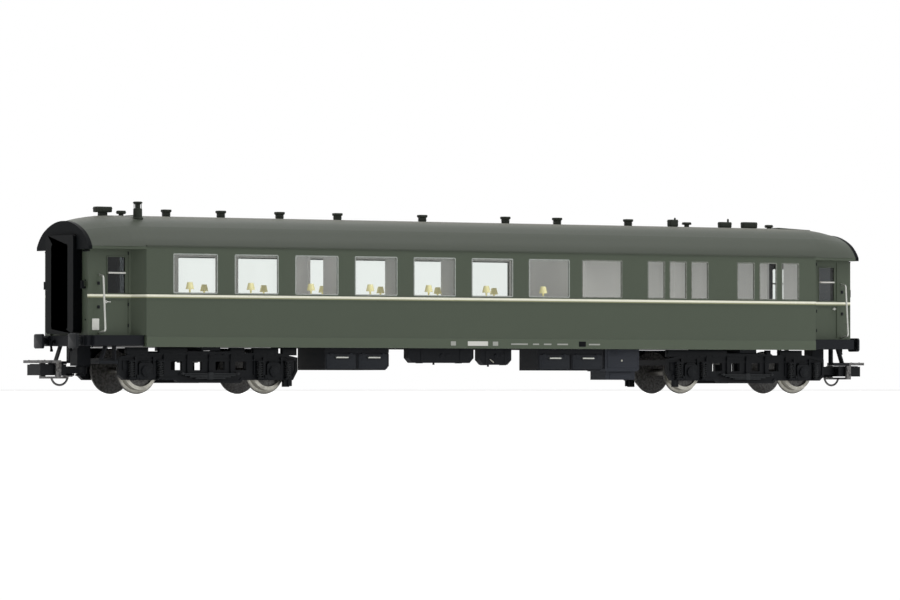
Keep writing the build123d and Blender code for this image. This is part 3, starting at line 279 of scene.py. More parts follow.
def wheelMaterial():
    # bright turned tyre, dark web, and the wheels' inner faces painted dark as shade
    look = {"tyre": srgb(158, 156, 147), "web": srgb(38, 35, 33), "webEdge": 4.15, "edgeSoftness": 0.1,
            "inner": 7.75, "innerSoftness": 0.2, "nearAxle": 8.0}
    material, tree, shader, where = startMaterial("wheelSteel")
    x, y, z = axisParts(tree, where)
    fromAxle = None
    for sign, axleSign in corners:
        across = calc(tree, "SUBTRACT", x, axleX(sign, axleSign))
        fromAxle = across if fromAxle is None else addNode(
            tree, "ShaderNodeMix", {"data_type": "FLOAT"},
            i0=calc(tree, "LESS_THAN", calc(tree, "ABSOLUTE", across), look["nearAxle"]),
            i2=fromAxle, i3=across).outputs[0]
    up = calc(tree, "SUBTRACT", z, coach["axleZ"])
    radius = calc(tree, "SQRT", calc(tree, "ADD", calc(tree, "MULTIPLY", fromAxle, fromAxle),
                                     calc(tree, "MULTIPLY", up, up)))
    # the dark colour covers the web, and the inner faces as painted shade
    rim = calc(tree, "MULTIPLY", ramp(tree, radius, look["webEdge"], look["webEdge"] + look["edgeSoftness"]),
               ramp(tree, calc(tree, "ABSOLUTE", y), look["inner"], look["inner"] + look["innerSoftness"]))
    color = mixColor(tree, rim, look["web"], look["tyre"])
    dressShader(tree, shader, brushGroup, where, color, Rough=0.34, Stain=0.35)
    tree.links.new(rim, shader.inputs["Metallic"])
    return material


def glassMaterial(name, darkenEndA):
    # clear panes with a slight haze; the second argument makes the ones in end a's half darker
    material, tree, shader, where = startMaterial(name)
    atEnd = calc(tree, "LESS_THAN", axisParts(tree, where)[0], 0.0)
    tint = mixColor(tree, calc(tree, "MULTIPLY", atEnd, darkenEndA), srgb(243, 246, 244), srgb(60, 64, 66))
    tree.links.new(tint, shader.inputs["Base Color"])
    shader.inputs["Transmission Weight"].default_value = 1.0
    shader.inputs["IOR"].default_value = 1.3
    haze = addNode(tree, "ShaderNodeTexNoise", Vector=where, Scale=240.0, Detail=3.0).outputs["Fac"]
    tree.links.new(ramp(tree, haze, 0.3, 0.8, 0.0, 0.05), shader.inputs["Roughness"])
    wave = addNode(tree, "ShaderNodeTexNoise", Vector=where, Scale=60.0, Detail=1.0).outputs["Fac"]
    bump = addNode(tree, "ShaderNodeBump", Height=wave, Strength=0.25, Distance=0.05 * mm)
    tree.links.new(bump.outputs[0], shader.inputs["Normal"])
    clear = addNode(tree, "ShaderNodeBsdfTransparent")
    path = addNode(tree, "ShaderNodeLightPath")
    through = calc(tree, "MAXIMUM", path.outputs["Is Shadow Ray"], path.outputs["Is Diffuse Ray"])
    mixed = addNode(tree, "ShaderNodeMixShader", i0=through, i1=shader.outputs[0], i2=clear.outputs[0])
    tree.links.new(mixed.outputs[0], tree.nodes["Material Output"].inputs["Surface"])
    return material


def tableCloth():
    # printed woven cloth: two crossed waves for the threads
    material, tree, shader, where = startMaterial("tableCloth")
    warp, weft = [addNode(tree, "ShaderNodeTexWave", {"bands_direction": axis}, Vector=where,
                          Scale=1400.0).outputs["Fac"] for axis in ("X", "Y")]
    weave = calc(tree, "MULTIPLY", warp, weft)
    color = mixColor(tree, weave, srgb(205, 202, 192), srgb(236, 234, 226))
    tree.links.new(color, shader.inputs["Base Color"])
    shader.inputs["Roughness"].default_value = 0.8
    bump = addNode(tree, "ShaderNodeBump", Height=weave, Strength=0.7, Distance=0.01 * mm)
    tree.links.new(bump.outputs[0], shader.inputs["Normal"])
    return material


def woodMaterial():
    material, tree, shader, where = startMaterial("tableWood")
    grainSpace = addNode(tree, "ShaderNodeMapping", i0=where, Scale=(1.0, 9.0, 4.0)).outputs[0]
    rings = addNode(tree, "ShaderNodeTexNoise", Vector=grainSpace, Scale=260.0, Detail=5.0,
                    Distortion=1.2).outputs["Fac"]
    color = mixColor(tree, ramp(tree, rings, 0.3, 0.7), srgb(70, 44, 28), srgb(120, 84, 54))
    dressShader(tree, shader, finishGroup, where, color, Blotch=0.1, Grain=0.15, Rough=0.4,
                Dust=0.05, Depth=0.003, Scale=1.0)
    return material


paint = {
    "body": bodyPaintMaterial(),
    # on the roof the pale colour on the top faces paints the highlight along the ridge as well as dust
    "roof": mouldedMaterial("roofPaint", srgb(66, 72, 62), blotch=0.08, grain=0.16, rough=0.5, dustAndSheen=0.45,
                            dustAndSheenStart=0.93, specular=0.3),
    "endBlack": mouldedMaterial("endBlack", srgb(19, 21, 23), rough=0.55, dustAndSheen=0.02, specular=0.04),
    # the gangway door is pale and glows faintly: painted light in the shaded passage
    "gangway": mouldedMaterial("gangwayDoor", srgb(120, 126, 132), rough=0.5, dustAndSheen=0.04, glow=0.05),
    "rubber": mouldedMaterial("bellowsRubber", srgb(15, 17, 19), grain=0.3, rough=0.42, dustAndSheen=0.03,
                              depth=0.006,
                              scale=0.7, specular=0.04),
    "underframe": mouldedMaterial("underframeBlack", srgb(24, 26, 30), grain=0.2, rough=0.55, dustAndSheen=0.06,
                                  specular=0.12),
    "bogie": mouldedMaterial("bogieBlack", srgb(20, 22, 25), grain=0.24, rough=0.5, dustAndSheen=0.07, depth=0.005,
                             specular=0.12),
    "coupler": mouldedMaterial("couplerBlack", srgb(22, 24, 27), grain=0.2, rough=0.48, dustAndSheen=0.06,
                               specular=0.12),
    "box": mouldedMaterial("boxGrey", srgb(56, 59, 66), rough=0.5, dustAndSheen=0.12, specular=0.12),
    "fitting": mouldedMaterial("fittingDark", srgb(50, 54, 48), grain=0.2, rough=0.55, dustAndSheen=0.08,
                               specular=0.12),
    # the pale moulding glows faintly: painted light inside the coach
    "inside": mouldedMaterial("interiorGrey", srgb(238, 237, 235), rough=0.6, dustAndSheen=0.0, glow=0.13),
    "seat": mouldedMaterial("seatBrown", srgb(98, 62, 48), grain=0.3, rough=0.7, dustAndSheen=0.0, depth=0.01),
    "cream": mouldedMaterial("lampCream", srgb(250, 240, 180), rough=0.4, dustAndSheen=0.0, coat=0.2, glow=0.25),
    "white": mouldedMaterial("barWhite", srgb(222, 222, 216), rough=0.35, dustAndSheen=0.0, coat=0.3),
    "print": mouldedMaterial("plateGrey", srgb(168, 170, 164), rough=0.45, dustAndSheen=0.0),
    "pot": mouldedMaterial("potDark", srgb(60, 55, 50), rough=0.35, dustAndSheen=0.0),
    "bulkLight": mouldedMaterial("indicatorCream", srgb(206, 205, 190), rough=0.3, dustAndSheen=0.0, coat=0.4),
    "frame": frameMaterial(),
    "spring": mouldedMaterial("springGrey", srgb(46, 48, 50), grain=0.24, rough=0.42, dustAndSheen=0.1, depth=0.004,
                              specular=0.12),
    "buffer": mouldedMaterial("bufferBlack", srgb(30, 32, 35), grain=0.2, rough=0.36, dustAndSheen=0.05,
                              specular=0.12),
    "door": mouldedMaterial("batteryDoor", srgb(38, 41, 46), grain=0.2, rough=0.45, dustAndSheen=0.06, specular=0.12),
    "rail": metalMaterial("railWire", srgb(190, 192, 186), rough=0.32, stain=0.12, metallic=0.6),
    "axle": metalMaterial("axleSteel", srgb(140, 138, 132), rough=0.35, stain=0.4),
    "screw": metalMaterial("screwSteel", srgb(110, 110, 108), rough=0.4, stain=0.4),
    "bail": metalMaterial("bailSteel", srgb(58, 58, 60), rough=0.42, stain=0.3, metallic=0.7),
    "wheel": wheelMaterial(), "glass": glassMaterial("clearPane", 0.0),
    "doorGlass": glassMaterial("doorPane", 1.0), "cloth": tableCloth(), "wood": woodMaterial(),
}
print("materials made:", len(paint))

nodePaint = {
    "body_shell": "body", "roof": "roof", "roof_end_panels": "endBlack", "gangway_bellows": "rubber",
    "gangway_doors": "gangway", "lamp_brackets": "endBlack", "glazing": "glass", "window_frames": "frame",
    "door_glass": "doorGlass", "door_bars": "white", "underframe": "underframe", "pivot_screws": "screw",
    "buffer_beams": "underframe", "buffers": "underframe", "interior_tray": "inside", "chairs": "seat",
    "tables": "wood", "table_lamps": "cream", "roof_ventilators": "fitting", "roof_boxes": "fitting",
    "stove_chimney": "fitting", "roof_plate": "roof", "battery_boxes": "underframe", "box_handles": "rail",
    "tanks": "underframe", "equipment_box": "box", "entry_steps": "underframe", "grab_rails": "rail",
    "brake_hoses": "rubber",
}
for end, sign in ends:
    for part in ("frame", "springs", "brakes"):
        nodePaint["bogie_" + end + "_" + part] = "bogie"
    nodePaint["coupler_" + end + "_head"] = "coupler"
    nodePaint["coupler_" + end + "_bail"] = "bail"
for number in range(1, 5):
    nodePaint["axle_" + str(number)] = "axle"
    nodePaint["wheels_" + str(number)] = "wheel"
for node, key in nodePaint.items():
    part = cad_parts[node]
    part.data.materials.clear()
    part.data.materials.append(paint[key])
print("nodes dressed:", len(nodePaint))


# Mesh helpers, all in millimetres until a piece is finished
def pick(items, kind):
    return [item for item in items if isinstance(item, kind)]


def addBlock(bm, low, high, bevel=0.0, segments=2):
    size = [b - a for a, b in zip(low, high)]
    centre = Vector([(a + b) / 2 for a, b in zip(low, high)])
    place = Matrix.Translation(centre) @ Matrix.Diagonal((*size, 1.0))
    cube = bmesh.ops.create_cube(bm, size=1.0, matrix=place)
    if bevel:
        edges = list({edge for vert in cube["verts"] for edge in vert.link_edges})
        bmesh.ops.bevel(bm, geom=edges, offset=bevel, segments=segments, profile=0.5,
                        affect="EDGES", material=-1)


def addPad(bm, x, y, halfX, halfY, foot, top, bevel=0.0, segments=2):
    # a block that reaches evenly round a point
    addBlock(bm, (x - halfX, y - halfY, foot), (x + halfX, y + halfY, top), bevel, segments)


def addSideBlock(bm, side, along, out, up, bevel=0.0, segments=2):
    # a block on one side of the coach, its reach across measured outward from the middle
    low, high = sorted(along)
    inner, outer = sorted((side * out[0], side * out[1]))
    addBlock(bm, (low, inner, up[0]), (high, outer, up[1]), bevel, segments)


def addRod(bm, start, end, radius, sides=10):
    start, end = Vector(start), Vector(end)
    line = end - start
    turn = line.to_track_quat("Z", "Y").to_matrix().to_4x4()
    bmesh.ops.create_cone(bm, cap_ends=True, segments=sides, radius1=radius, radius2=radius,
                          depth=line.length, matrix=Matrix.Translation((start + end) / 2) @ turn)


def addBolt(bm, place, axis, radius, height, sink=0.05):
    axis = Vector(axis)
    place = Vector(place)
    addRod(bm, place - axis * sink, place + axis * height, radius, sides=6)


def addPart(bm, part, matrix):
    copy = bpy.data.meshes.new("part")
    part.to_mesh(copy)
    copy.transform(matrix)
    bm.from_mesh(copy)
    bpy.data.meshes.remove(copy)


def turnedPart(profile, sides):
    # a profile of radius and height, spun round the Z axis
    part = bmesh.new()
    verts = [part.verts.new((radius, 0, height)) for radius, height in profile]
    edges = [part.edges.new(pair) for pair in zip(verts, verts[1:])]
    bmesh.ops.spin(part, geom=verts + edges, axis=(0, 0, 1), cent=(0, 0, 0), angle=2 * math.pi,
                   steps=sides, use_merge=True)
    bmesh.ops.remove_doubles(part, verts=part.verts, dist=0.001)
    return part


def coilPart(radius, wire, pitch, turns, wireSides, steps):
    # a spring: a wire section swept up its helix
    part = bmesh.new()
    place = Matrix.Translation((radius, 0, 0)) @ Matrix.Rotation(math.pi / 2, 4, "X")
    ring = bmesh.ops.create_circle(part, segments=wireSides, radius=wire, cap_ends=False, matrix=place)
    edges = list({edge for vert in ring["verts"] for edge in vert.link_edges})
    bmesh.ops.spin(part, geom=ring["verts"] + edges, axis=(0, 0, 1), cent=(0, 0, 0),
                   dvec=(0, 0, pitch / steps), angle=2 * math.pi * turns, steps=int(steps * turns))
    bmesh.ops.holes_fill(part, edges=[edge for edge in part.edges if edge.is_boundary], sides=0)
    return part


def alongY(x, y, z, side):
    # carries a part's own Z to +Y or -Y and its own Y up
    return Matrix(((-side, 0, 0, x), (0, 0, side, y), (0, 1, 0, z), (0, 0, 0, 1)))


def alongX(x, y, z, sign):
    # carries a part's own Z to +X or -X and its own Y up
    return Matrix(((0, 0, sign, x), (sign, 0, 0, y), (0, 1, 0, z), (0, 0, 0, 1)))


def platePart(width, height, thickness, corner, edge):
    # a rounded rectangle in its own XY, raised along its own Z
    part = bmesh.new()
    bmesh.ops.create_grid(part, x_segments=1, y_segments=1, size=0.5,
                          matrix=Matrix.Diagonal((width, height, 1, 1)))
    bmesh.ops.bevel(part, geom=part.verts[:], offset=corner, segments=4, profile=0.5,
                    affect="VERTICES", material=-1)
    grown = bmesh.ops.extrude_face_region(part, geom=part.faces[:])["geom"]
    bmesh.ops.translate(part, vec=(0, 0, thickness), verts=pick(grown, bmesh.types.BMVert))
    if edge:
        top = [face for face in part.faces if all(vert.co.z > thickness / 2 for vert in face.verts)]
        bmesh.ops.bevel(part, geom=list(top[0].edges), offset=edge, segments=2, profile=0.5,
                        affect="EDGES", material=-1)
    return part


def addPlate(bm, matrix, width, height, thickness, corner, edge=0.0):
    part = platePart(width, height, thickness, corner, edge)
    addPart(bm, part, matrix)
    part.free()


def addTurned(bm, matrix, profile, sides):
    part = turnedPart(profile, sides)
    addPart(bm, part, matrix)
    part.free()


def addPipe(bm, points, radius, sides=8):
    # a round tube through the points, its rings carried along without twist
    points = [Vector(point) for point in points]
    headings = [(b - a).normalized() for a, b in zip(points, points[1:])]
    headings = [headings[0]] + [(a + b).normalized() for a, b in zip(headings, headings[1:])] + [headings[-1]]
    facing = headings[0].to_track_quat("Z", "Y")
    rings = []
    for i, point in enumerate(points):
        if i:
            facing = headings[i - 1].rotation_difference(headings[i]) @ facing
        place = Matrix.Translation(point) @ facing.to_matrix().to_4x4()
        ring = bmesh.ops.create_circle(bm, segments=sides, radius=radius, matrix=place,
                                       cap_ends=i in (0, len(points) - 1))
        rings.append(ring["verts"])
    for a, b in zip(rings, rings[1:]):
        for k in range(sides):
            bm.faces.new((a[k], a[(k + 1) % sides], b[(k + 1) % sides], b[k]))


def finishPiece(name, bm, material, body, replaced=(), crease=38):
    bmesh.ops.recalc_face_normals(bm, faces=bm.faces)
    bmesh.ops.scale(bm, vec=(mm, mm, mm), verts=bm.verts)
    for face in bm.faces:
        face.smooth = True
    for edge in bm.edges:
        edge.smooth = edge.is_manifold and edge.calc_face_angle(0.0) < math.radians(crease)
    mesh = bpy.data.meshes.new(name)
    bm.to_mesh(mesh)
    bm.free()
    mesh.materials.append(paint[material])
    piece = bpy.data.objects.new(name, mesh)
    bpy.context.scene.collection.objects.link(piece)
    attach(piece, body)
    if replaced:
        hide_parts(*replaced)
    print("piece", name, len(mesh.polygons), "faces")


# Ends: folded bellows round an open passage
def frameLoop(bm, width, foot, height, corner):
    # the edges of an upright rounded rectangle across the coach
    place = Matrix.Translation((0, 0, foot + height / 2)) @ Matrix.Rotation(math.pi / 2, 4, "Y")
    size = Matrix.Diagonal((height, width, 1, 1))
    grid = bmesh.ops.create_grid(bm, x_segments=1, y_segments=1, size=0.5, matrix=place @ size)
    rounded = bmesh.ops.bevel(bm, geom=grid["verts"], offset=corner, segments=4, profile=0.5,
                              affect="VERTICES", material=-1)
    face = rounded["verts"][0].link_faces[0]
    edges = list(face.edges)
    bm.faces.remove(face)
    return edges


def growLoop(bm, edges, depth):
    # draws a loop out along X and gives the new rim's points and edges
    grown = bmesh.ops.extrude_edge_only(bm, edges=edges)["geom"]
    verts = pick(grown, bmesh.types.BMVert)
    bmesh.ops.translate(bm, vec=(depth, 0, 0), verts=verts)
    return verts, pick(grown, bmesh.types.BMEdge)


def makeBellows():
    look = {"width": 16.2, "foot": 16.8, "height": 27.4, "depth": 2.8, "folds": 5, "foldDepth": 0.55,
            "corner": 1.3, "openingWidth": 9.6, "openingFoot": 18.0, "openingHeight": 23.6,
            "openingCorner": 0.8}
    middle = Matrix.Translation((0, 0, look["foot"] + look["height"] / 2)).inverted()
    step = look["depth"] / (2 * look["folds"])
    squeeze = 1 - 2 * look["foldDepth"] / look["width"]
    bm = bmesh.new()
    for sign in signs:
        part = bmesh.new()
        outer = frameLoop(part, look["width"], look["foot"], look["height"], look["corner"])
        front = outer
        for i in range(2 * look["folds"]):
            verts, front = growLoop(part, front, step)
            factor = squeeze if i % 2 == 0 else 1 / squeeze
            bmesh.ops.scale(part, vec=(1, factor, factor), space=middle, verts=verts)
        inner = frameLoop(part, look["openingWidth"], look["openingFoot"], look["openingHeight"],
                          look["openingCorner"])
        innerFront = growLoop(part, inner, look["depth"])[1]
        bmesh.ops.bridge_loops(part, edges=front + innerFront)
        bmesh.ops.bridge_loops(part, edges=outer + inner)
        place = Matrix.Translation((sign * coach["halfLength"], 0, 0)) @ Matrix.Diagonal((sign, 1, 1, 1))
        addPart(bm, part, place)
        part.free()
    finishPiece("bellowsFolds", bm, "rubber", "coach", ["gangway_bellows"], crease=50)


makeBellows()


# Bogies: helical springs, leaf packs, axlebox lids, rivets, brake rigging
def makeSprings(end, sign):
    look = {"offset": 4.6, "foot": 4.6, "top": 8.9, "radius": 0.74, "wire": 0.15, "turns": 6.5,
            "guide": 0.36, "coilOut": 0.9, "leafFoot": 4.2, "leaf": 0.42, "leafGap": 0.03, "leafOut": 1.1,
            "leafHalves": (9.6, 8.2, 6.6, 4.8), "buckleHalf": 0.8, "buckleMargin": 0.15, "strapX": 8.9,
            "strapHalf": 0.35, "strapDrop": 0.1, "boltX": 0.4, "boltDrop": 0.8}
    face = coach["frameFace"]
    middle = sign * coach["pivotX"]
    pitch = (look["top"] - look["foot"] - 2 * look["wire"]) / look["turns"]
    coil = coilPart(look["radius"], look["wire"], pitch, look["turns"], wireSides=6, steps=12)
    bm = bmesh.new()
    for side in signs:
        for axleSign in signs:
            for place in signs:
                x = axleX(sign, axleSign) + place * look["offset"]
                y = side * (face + look["coilOut"])
                addPart(bm, coil, Matrix.Translation((x, y, look["foot"] + look["wire"])))
                addRod(bm, (x, y, look["foot"]), (x, y, look["top"]), look["guide"], sides=8)
        top = look["leafFoot"] + look["leaf"] * len(look["leafHalves"])
        for i, half in enumerate(look["leafHalves"]):
            high = top - i * look["leaf"]
            addSideBlock(bm, side, (middle - half, middle + half), (face, face + look["leafOut"]),
                         (high - look["leaf"] + look["leafGap"], high - look["leafGap"]), 0.08, 1)
        margin = look["buckleMargin"]
        reach = face + look["leafOut"] + margin
        for shift in (0.0, -look["strapX"], look["strapX"]):
            half = look["strapHalf"] if shift else look["buckleHalf"]
            foot = top - look["leaf"] - look["strapDrop"] if shift else look["leafFoot"] - margin
            addSideBlock(bm, side, (middle + shift - half, middle + shift + half), (face, reach),
                         (foot, top + margin), 0.1)
        for place in signs:
            addBolt(bm, (middle + place * look["boltX"], side * reach, top - look["boltDrop"]), (0, side, 0),
                    0.16, 0.12)
    coil.free()
    finishPiece("springs_" + end, bm, "spring", "bogie_" + end, ["bogie_" + end + "_springs"])


def makeAxleboxes(end, sign):
    # the slip cover stands out further on the far side
    look = {"slipOut": {-1: 0.8, 1: 1.0}, "outer": 13.6,
            "lidProfile": ((0, 0.16), (0.45, 0.16), (0.55, 0.08), (1.15, 0.06), (1.3, 0.0)), "bolts": 6,
            "boltRing": 1.18, "boltSink": 0.02, "earX": 2.5, "earHalf": 0.35, "earIn": 0.1, "earOut": 0.95,
            "earFoot": 4.25, "earRise": 1.1, "stayHalf": 3.2, "stayOut": 0.8, "stayFoot": 3.95,
            "stayRise": 0.35, "slipHalf": 1.5, "slipFoot": 8.75, "slipTop": 9.15}
    face = coach["frameFace"]
    bm = bmesh.new()
    for side in signs:
        for axleSign in signs:
            x = axleX(sign, axleSign)
            addTurned(bm, alongY(x, side * look["outer"], coach["axleZ"], side), look["lidProfile"], 20)
            for k in range(look["bolts"]):
                turn = 2 * math.pi * (k + 0.5) / look["bolts"]
                place = (x + look["boltRing"] * math.cos(turn), side * (look["outer"] - look["boltSink"]),
                         coach["axleZ"] + look["boltRing"] * math.sin(turn))
                addBolt(bm, place, (0, side, 0), 0.14, 0.13)
            for ear in (-look["earX"], look["earX"]):
                addSideBlock(bm, side, (x + ear - look["earHalf"], x + ear + look["earHalf"]),
                             (face + look["earIn"], face + look["earOut"]),
                             (look["earFoot"], look["earFoot"] + look["earRise"]), 0.1)
            addSideBlock(bm, side, (x - look["stayHalf"], x + look["stayHalf"]),
                         (face, face + look["stayOut"]),
                         (look["stayFoot"], look["stayFoot"] + look["stayRise"]), 0.08)
            addSideBlock(bm, side, (x - look["slipHalf"], x + look["slipHalf"]),
                         (face, face + look["slipOut"][side]), (look["slipFoot"], look["slipTop"]), 0.08)
    finishPiece("axleboxLids_" + end, bm, "bogie", "bogie_" + end)


def makeBogieTrim(end, sign):
    look = {"frameSkin": 0.35, "rivet": 0.17, "rivetRise": 0.13, "pitch": 2.4, "rivetInset": 7.0,
            "topLine": 11.1, "footLine": 4.2, "footReach": (11.4, 27.0),
            "ribs": (-14.6, -7.0, 0.0, 7.0, 14.6), "ribHalf": 0.22, "ribIn": 0.36, "ribOut": 0.15,
            "ribFoot": 5.35, "ribTop": 11.3,
            # dark lengths between frame and floor, measured from the pivot; light shows between them
            "caps": {"a": ((-26.3, -19.5), (-16.0, 2.0), (4.6, 11.5), (14.4, 22.6), (23.9, 28.6)),
                     "b": ((-28.6, 4.3), (7.6, 9.1), (12.5, 20.7))}, "capIn": 1.5, "capOut": 0.1,
            "capFoot": 10.9, "capTop": 12.98, "lowTop": 12.1, "bolsterSwing": 6.95, "shortest": 0.3,
            "padX": 26.6, "padZ": 8.0, "padIn": 0.36, "padBoltIn": 0.1,
            "padSize": (2.2, 2.6, 0.3, 0.3, 0.08), "padBoltX": 0.7, "padBoltZ": 0.9, "guardX": 26.3,
            "guardHalf": 0.7, "guardFoot": 2.2, "guardTop": 5.6, "guardIn": 0.4, "guardOut": 0.05,
            "beamX": 13.45, "beamY": 9.9, "beamZ": 4.6, "beamRadius": 0.3, "postRise": 3.4, "hangerY": 8.9,
            "hangerTop": 9.4, "hangerBend": 7.6, "hangerLean": 0.3, "hangerRadius": 0.24, "pullRise": 0.1,
            "pullRadius": 0.26}
    face = coach["frameFace"] + look["frameSkin"]
    middle = sign * coach["pivotX"]
    first = look["rivetInset"] - coach["frameHalf"]
    count = int(-2 * first / look["pitch"])
    swing = look["bolsterSwing"]
    bm = bmesh.new()
    for side in signs:
        for i in range(count + 1):
            x = first + i * look["pitch"]
            addBolt(bm, (middle + x, side * face, look["topLine"]), (0, side, 0), look["rivet"],
                    look["rivetRise"])
            if look["footReach"][0] < abs(x) < look["footReach"][1]:
                addBolt(bm, (middle + x, side * face, look["footLine"]), (0, side, 0), look["rivet"],
                        look["rivetRise"])
        for x in look["ribs"]:
            addSideBlock(bm, side, (middle + x - look["ribHalf"], middle + x + look["ribHalf"]),
                         (face - look["ribIn"], face + look["ribOut"]), (look["ribFoot"], look["ribTop"]),
                         0.1, 1)
        # the caps stay low beside the pivot, where the body bolster passes over them in a curve
        for start, stop in look["caps"][end]:
            for near, far, top in ((start, min(stop, -swing), look["capTop"]),
                                   (max(start, -swing), min(stop, swing), look["lowTop"]),
                                   (max(start, swing), stop, look["capTop"])):
                if far - near > look["shortest"]:
                    addSideBlock(bm, side, (middle + near, middle + far),
                                 (face - look["capIn"], face - look["capOut"]), (look["capFoot"], top), 0.08)
        for x in (-look["padX"], look["padX"]):
            addPlate(bm, alongY(middle + x, side * (face - look["padIn"]), look["padZ"], side),
                     *look["padSize"])
            for up in signs:
                for along in signs:
                    place = (middle + x + along * look["padBoltX"], side * (face - look["padBoltIn"]),
                             look["padZ"] + up * look["padBoltZ"])
                    addBolt(bm, place, (0, side, 0), 0.16, 0.14)
        guardX = middle - sign * look["guardX"]
        addSideBlock(bm, side, (guardX - look["guardHalf"], guardX + look["guardHalf"]),
                     (face - look["guardIn"], face + look["guardOut"]), (look["guardFoot"], look["guardTop"]),
                     0.12, 1)
    for place in signs:
        x = middle + place * look["beamX"]
        foot = look["beamZ"]
        addRod(bm, (x, -look["beamY"], foot), (x, look["beamY"], foot), look["beamRadius"], sides=10)
        addRod(bm, (x, 0, foot), (x, 0, foot + look["postRise"]), look["beamRadius"], sides=8)
        for side in signs:
            y = side * look["hangerY"]
            addPipe(bm, ((x, y, look["hangerTop"]), (x - place * look["hangerLean"], y, look["hangerBend"]),
                         (x, y, foot)), look["hangerRadius"])
    pullZ = look["beamZ"] + look["pullRise"]
    addRod(bm, (middle - look["beamX"], 0, pullZ), (middle + look["beamX"], 0, pullZ), look["pullRadius"])
    finishPiece("bogieTrim_" + end, bm, "bogie", "bogie_" + end, crease=45)


for end, sign in ends:
    makeSprings(end, sign)
    makeAxleboxes(end, sign)
    makeBogieTrim(end, sign)


# Buffers: bolted plate, ringed barrel, rounded head
def makeBuffers():
    look = {"y": 10.0, "z": 14.75, "face": 135.0, "headWidth": 5.0, "headHeight": 4.1, "headThick": 0.8,
            "headGap": 0.02, "headCorner": 0.7, "headEdge": 0.22, "plateWidth": 3.6, "plateHeight": 2.9,
            "plateThick": 0.4, "plateCorner": 0.35, "plateEdge": 0.08, "plateZ": 14.85, "boltY": 1.4,
            "boltZ": 1.05,
            "barrel": ((0, 0), (1.3, 0), (1.3, 0.25), (1.15, 0.35), (1.15, 1.25), (1.28, 1.35),
                       (1.28, 1.65), (0.8, 1.7), (0.8, 2.35), (0.95, 2.4))}
    bm = bmesh.new()
    for sign, side in corners:
        y = side * look["y"]
        base = coach["beamX"] * sign
        addPlate(bm, alongX(base, y, look["plateZ"], sign), look["plateWidth"], look["plateHeight"],
                 look["plateThick"], look["plateCorner"], look["plateEdge"])
        for across, up in corners:
            place = (base + sign * look["plateThick"], y + across * look["boltY"],
                     look["plateZ"] + up * look["boltZ"])
            addBolt(bm, place, (sign, 0, 0), 0.2, 0.16)
        addTurned(bm, alongX(base, y, look["z"], sign), look["barrel"], 20)
        addPlate(bm, alongX(sign * (look["face"] - look["headThick"]), y, look["z"], sign), look["headWidth"],
                 look["headHeight"], look["headThick"] - look["headGap"], look["headCorner"],
                 look["headEdge"])
    finishPiece("bufferHeads", bm, "buffer", "coach", ["buffers"], crease=45)


def makeHoses():
    look = {"y": 5.6, "top": 14.7, "foot": 12.3, "radius": 0.34, "reach": 1.0, "bulge": 1.3, "lift": 0.1,
            "drop": 1.4, "lean": 0.2, "rings": 10, "tabHalf": 0.25, "tabIn": 0.55, "tabOut": 0.1,
            "tabFoot": 0.45, "tabTop": 0.1,
            "coupling": ((0, -0.5), (0.3, -0.5), (0.42, -0.4), (0.42, 0.1), (0.34, 0.2), (0.34, 0.35)),
            "collar": ((0, 0), (0.62, 0), (0.62, 0.18), (0.45, 0.26), (0.45, 0.5), (0.34, 0.52))}
    bm = bmesh.new()
    for sign, side in corners:
        x0 = sign * coach["beamX"]
        x1 = x0 + sign * look["reach"]
        y = side * look["y"]
        line = interpolate_bezier(Vector((x0, y, look["top"])),
                                  Vector((x0 + sign * look["bulge"], y, look["top"] + look["lift"])),
                                  Vector((x1 + sign * look["lean"], y, look["foot"] + look["drop"])),
                                  Vector((x1, y, look["foot"])), look["rings"])
        addPipe(bm, line, look["radius"])
        addTurned(bm, alongX(x0, y, look["top"], sign), look["collar"], 12)
        addTurned(bm, Matrix.Translation((x1, y, look["foot"])), look["coupling"], 12)
        addBlock(bm, (x1 - look["tabHalf"], y - look["tabIn"], look["foot"] - look["tabFoot"]),
                 (x1 + look["tabHalf"], y + look["tabOut"], look["foot"] - look["tabTop"]), bevel=0.08)
    finishPiece("brakeHoses", bm, "rubber", "coach", ["brake_hoses"])


makeBuffers()
makeHoses()


# Roof: louvred ventilators, filler boxes, chimney, walkway plates
def makeVentilators():
    look = {"bays": (0.0, 0.9, 1.88, 2.86, 4.32, 5.78), "others": (32.9, 58.3), "half": 0.95, "long": 1.3,
            "trunk": 0.72, "trunkLong": 0.97, "sink": 0.15, "height": 1.95, "hood": 0.75, "louvres": 3,
            "louvreFoot": 0.3, "louvrePitch": 0.38, "louvreHeight": 0.12, "louvreLong": 1.06,
            "louvreHalf": 0.84, "knob": ((0, 0.05), (0.12, 0.05), (0.16, 0.0)), "knobSink": 0.06}
    places = [coach["bayFirst"] + bay * coach["bayPitch"] for bay in look["bays"]] + list(look["others"])
    ridge = coach["ridge"]
    top = ridge + look["height"]
    bm = bmesh.new()
    for x in places:
        addPad(bm, x, 0, look["trunkLong"], look["trunk"], ridge - look["sink"], top - look["hood"], 0.08, 1)
        addPad(bm, x, 0, look["long"], look["half"], top - look["hood"], top - tuck, 0.2, 3)
        for k in range(look["louvres"]):
            foot = ridge + look["louvreFoot"] + k * look["louvrePitch"]
            addPad(bm, x, 0, look["louvreLong"], look["louvreHalf"], foot,
                   foot + look["louvreHeight"], 0.04, 1)
        addTurned(bm, Matrix.Translation((x, 0, top - look["knobSink"])), look["knob"], 8)
    finishPiece("ventilatorHoods", bm, "fitting", "coach", ["roof_ventilators"])


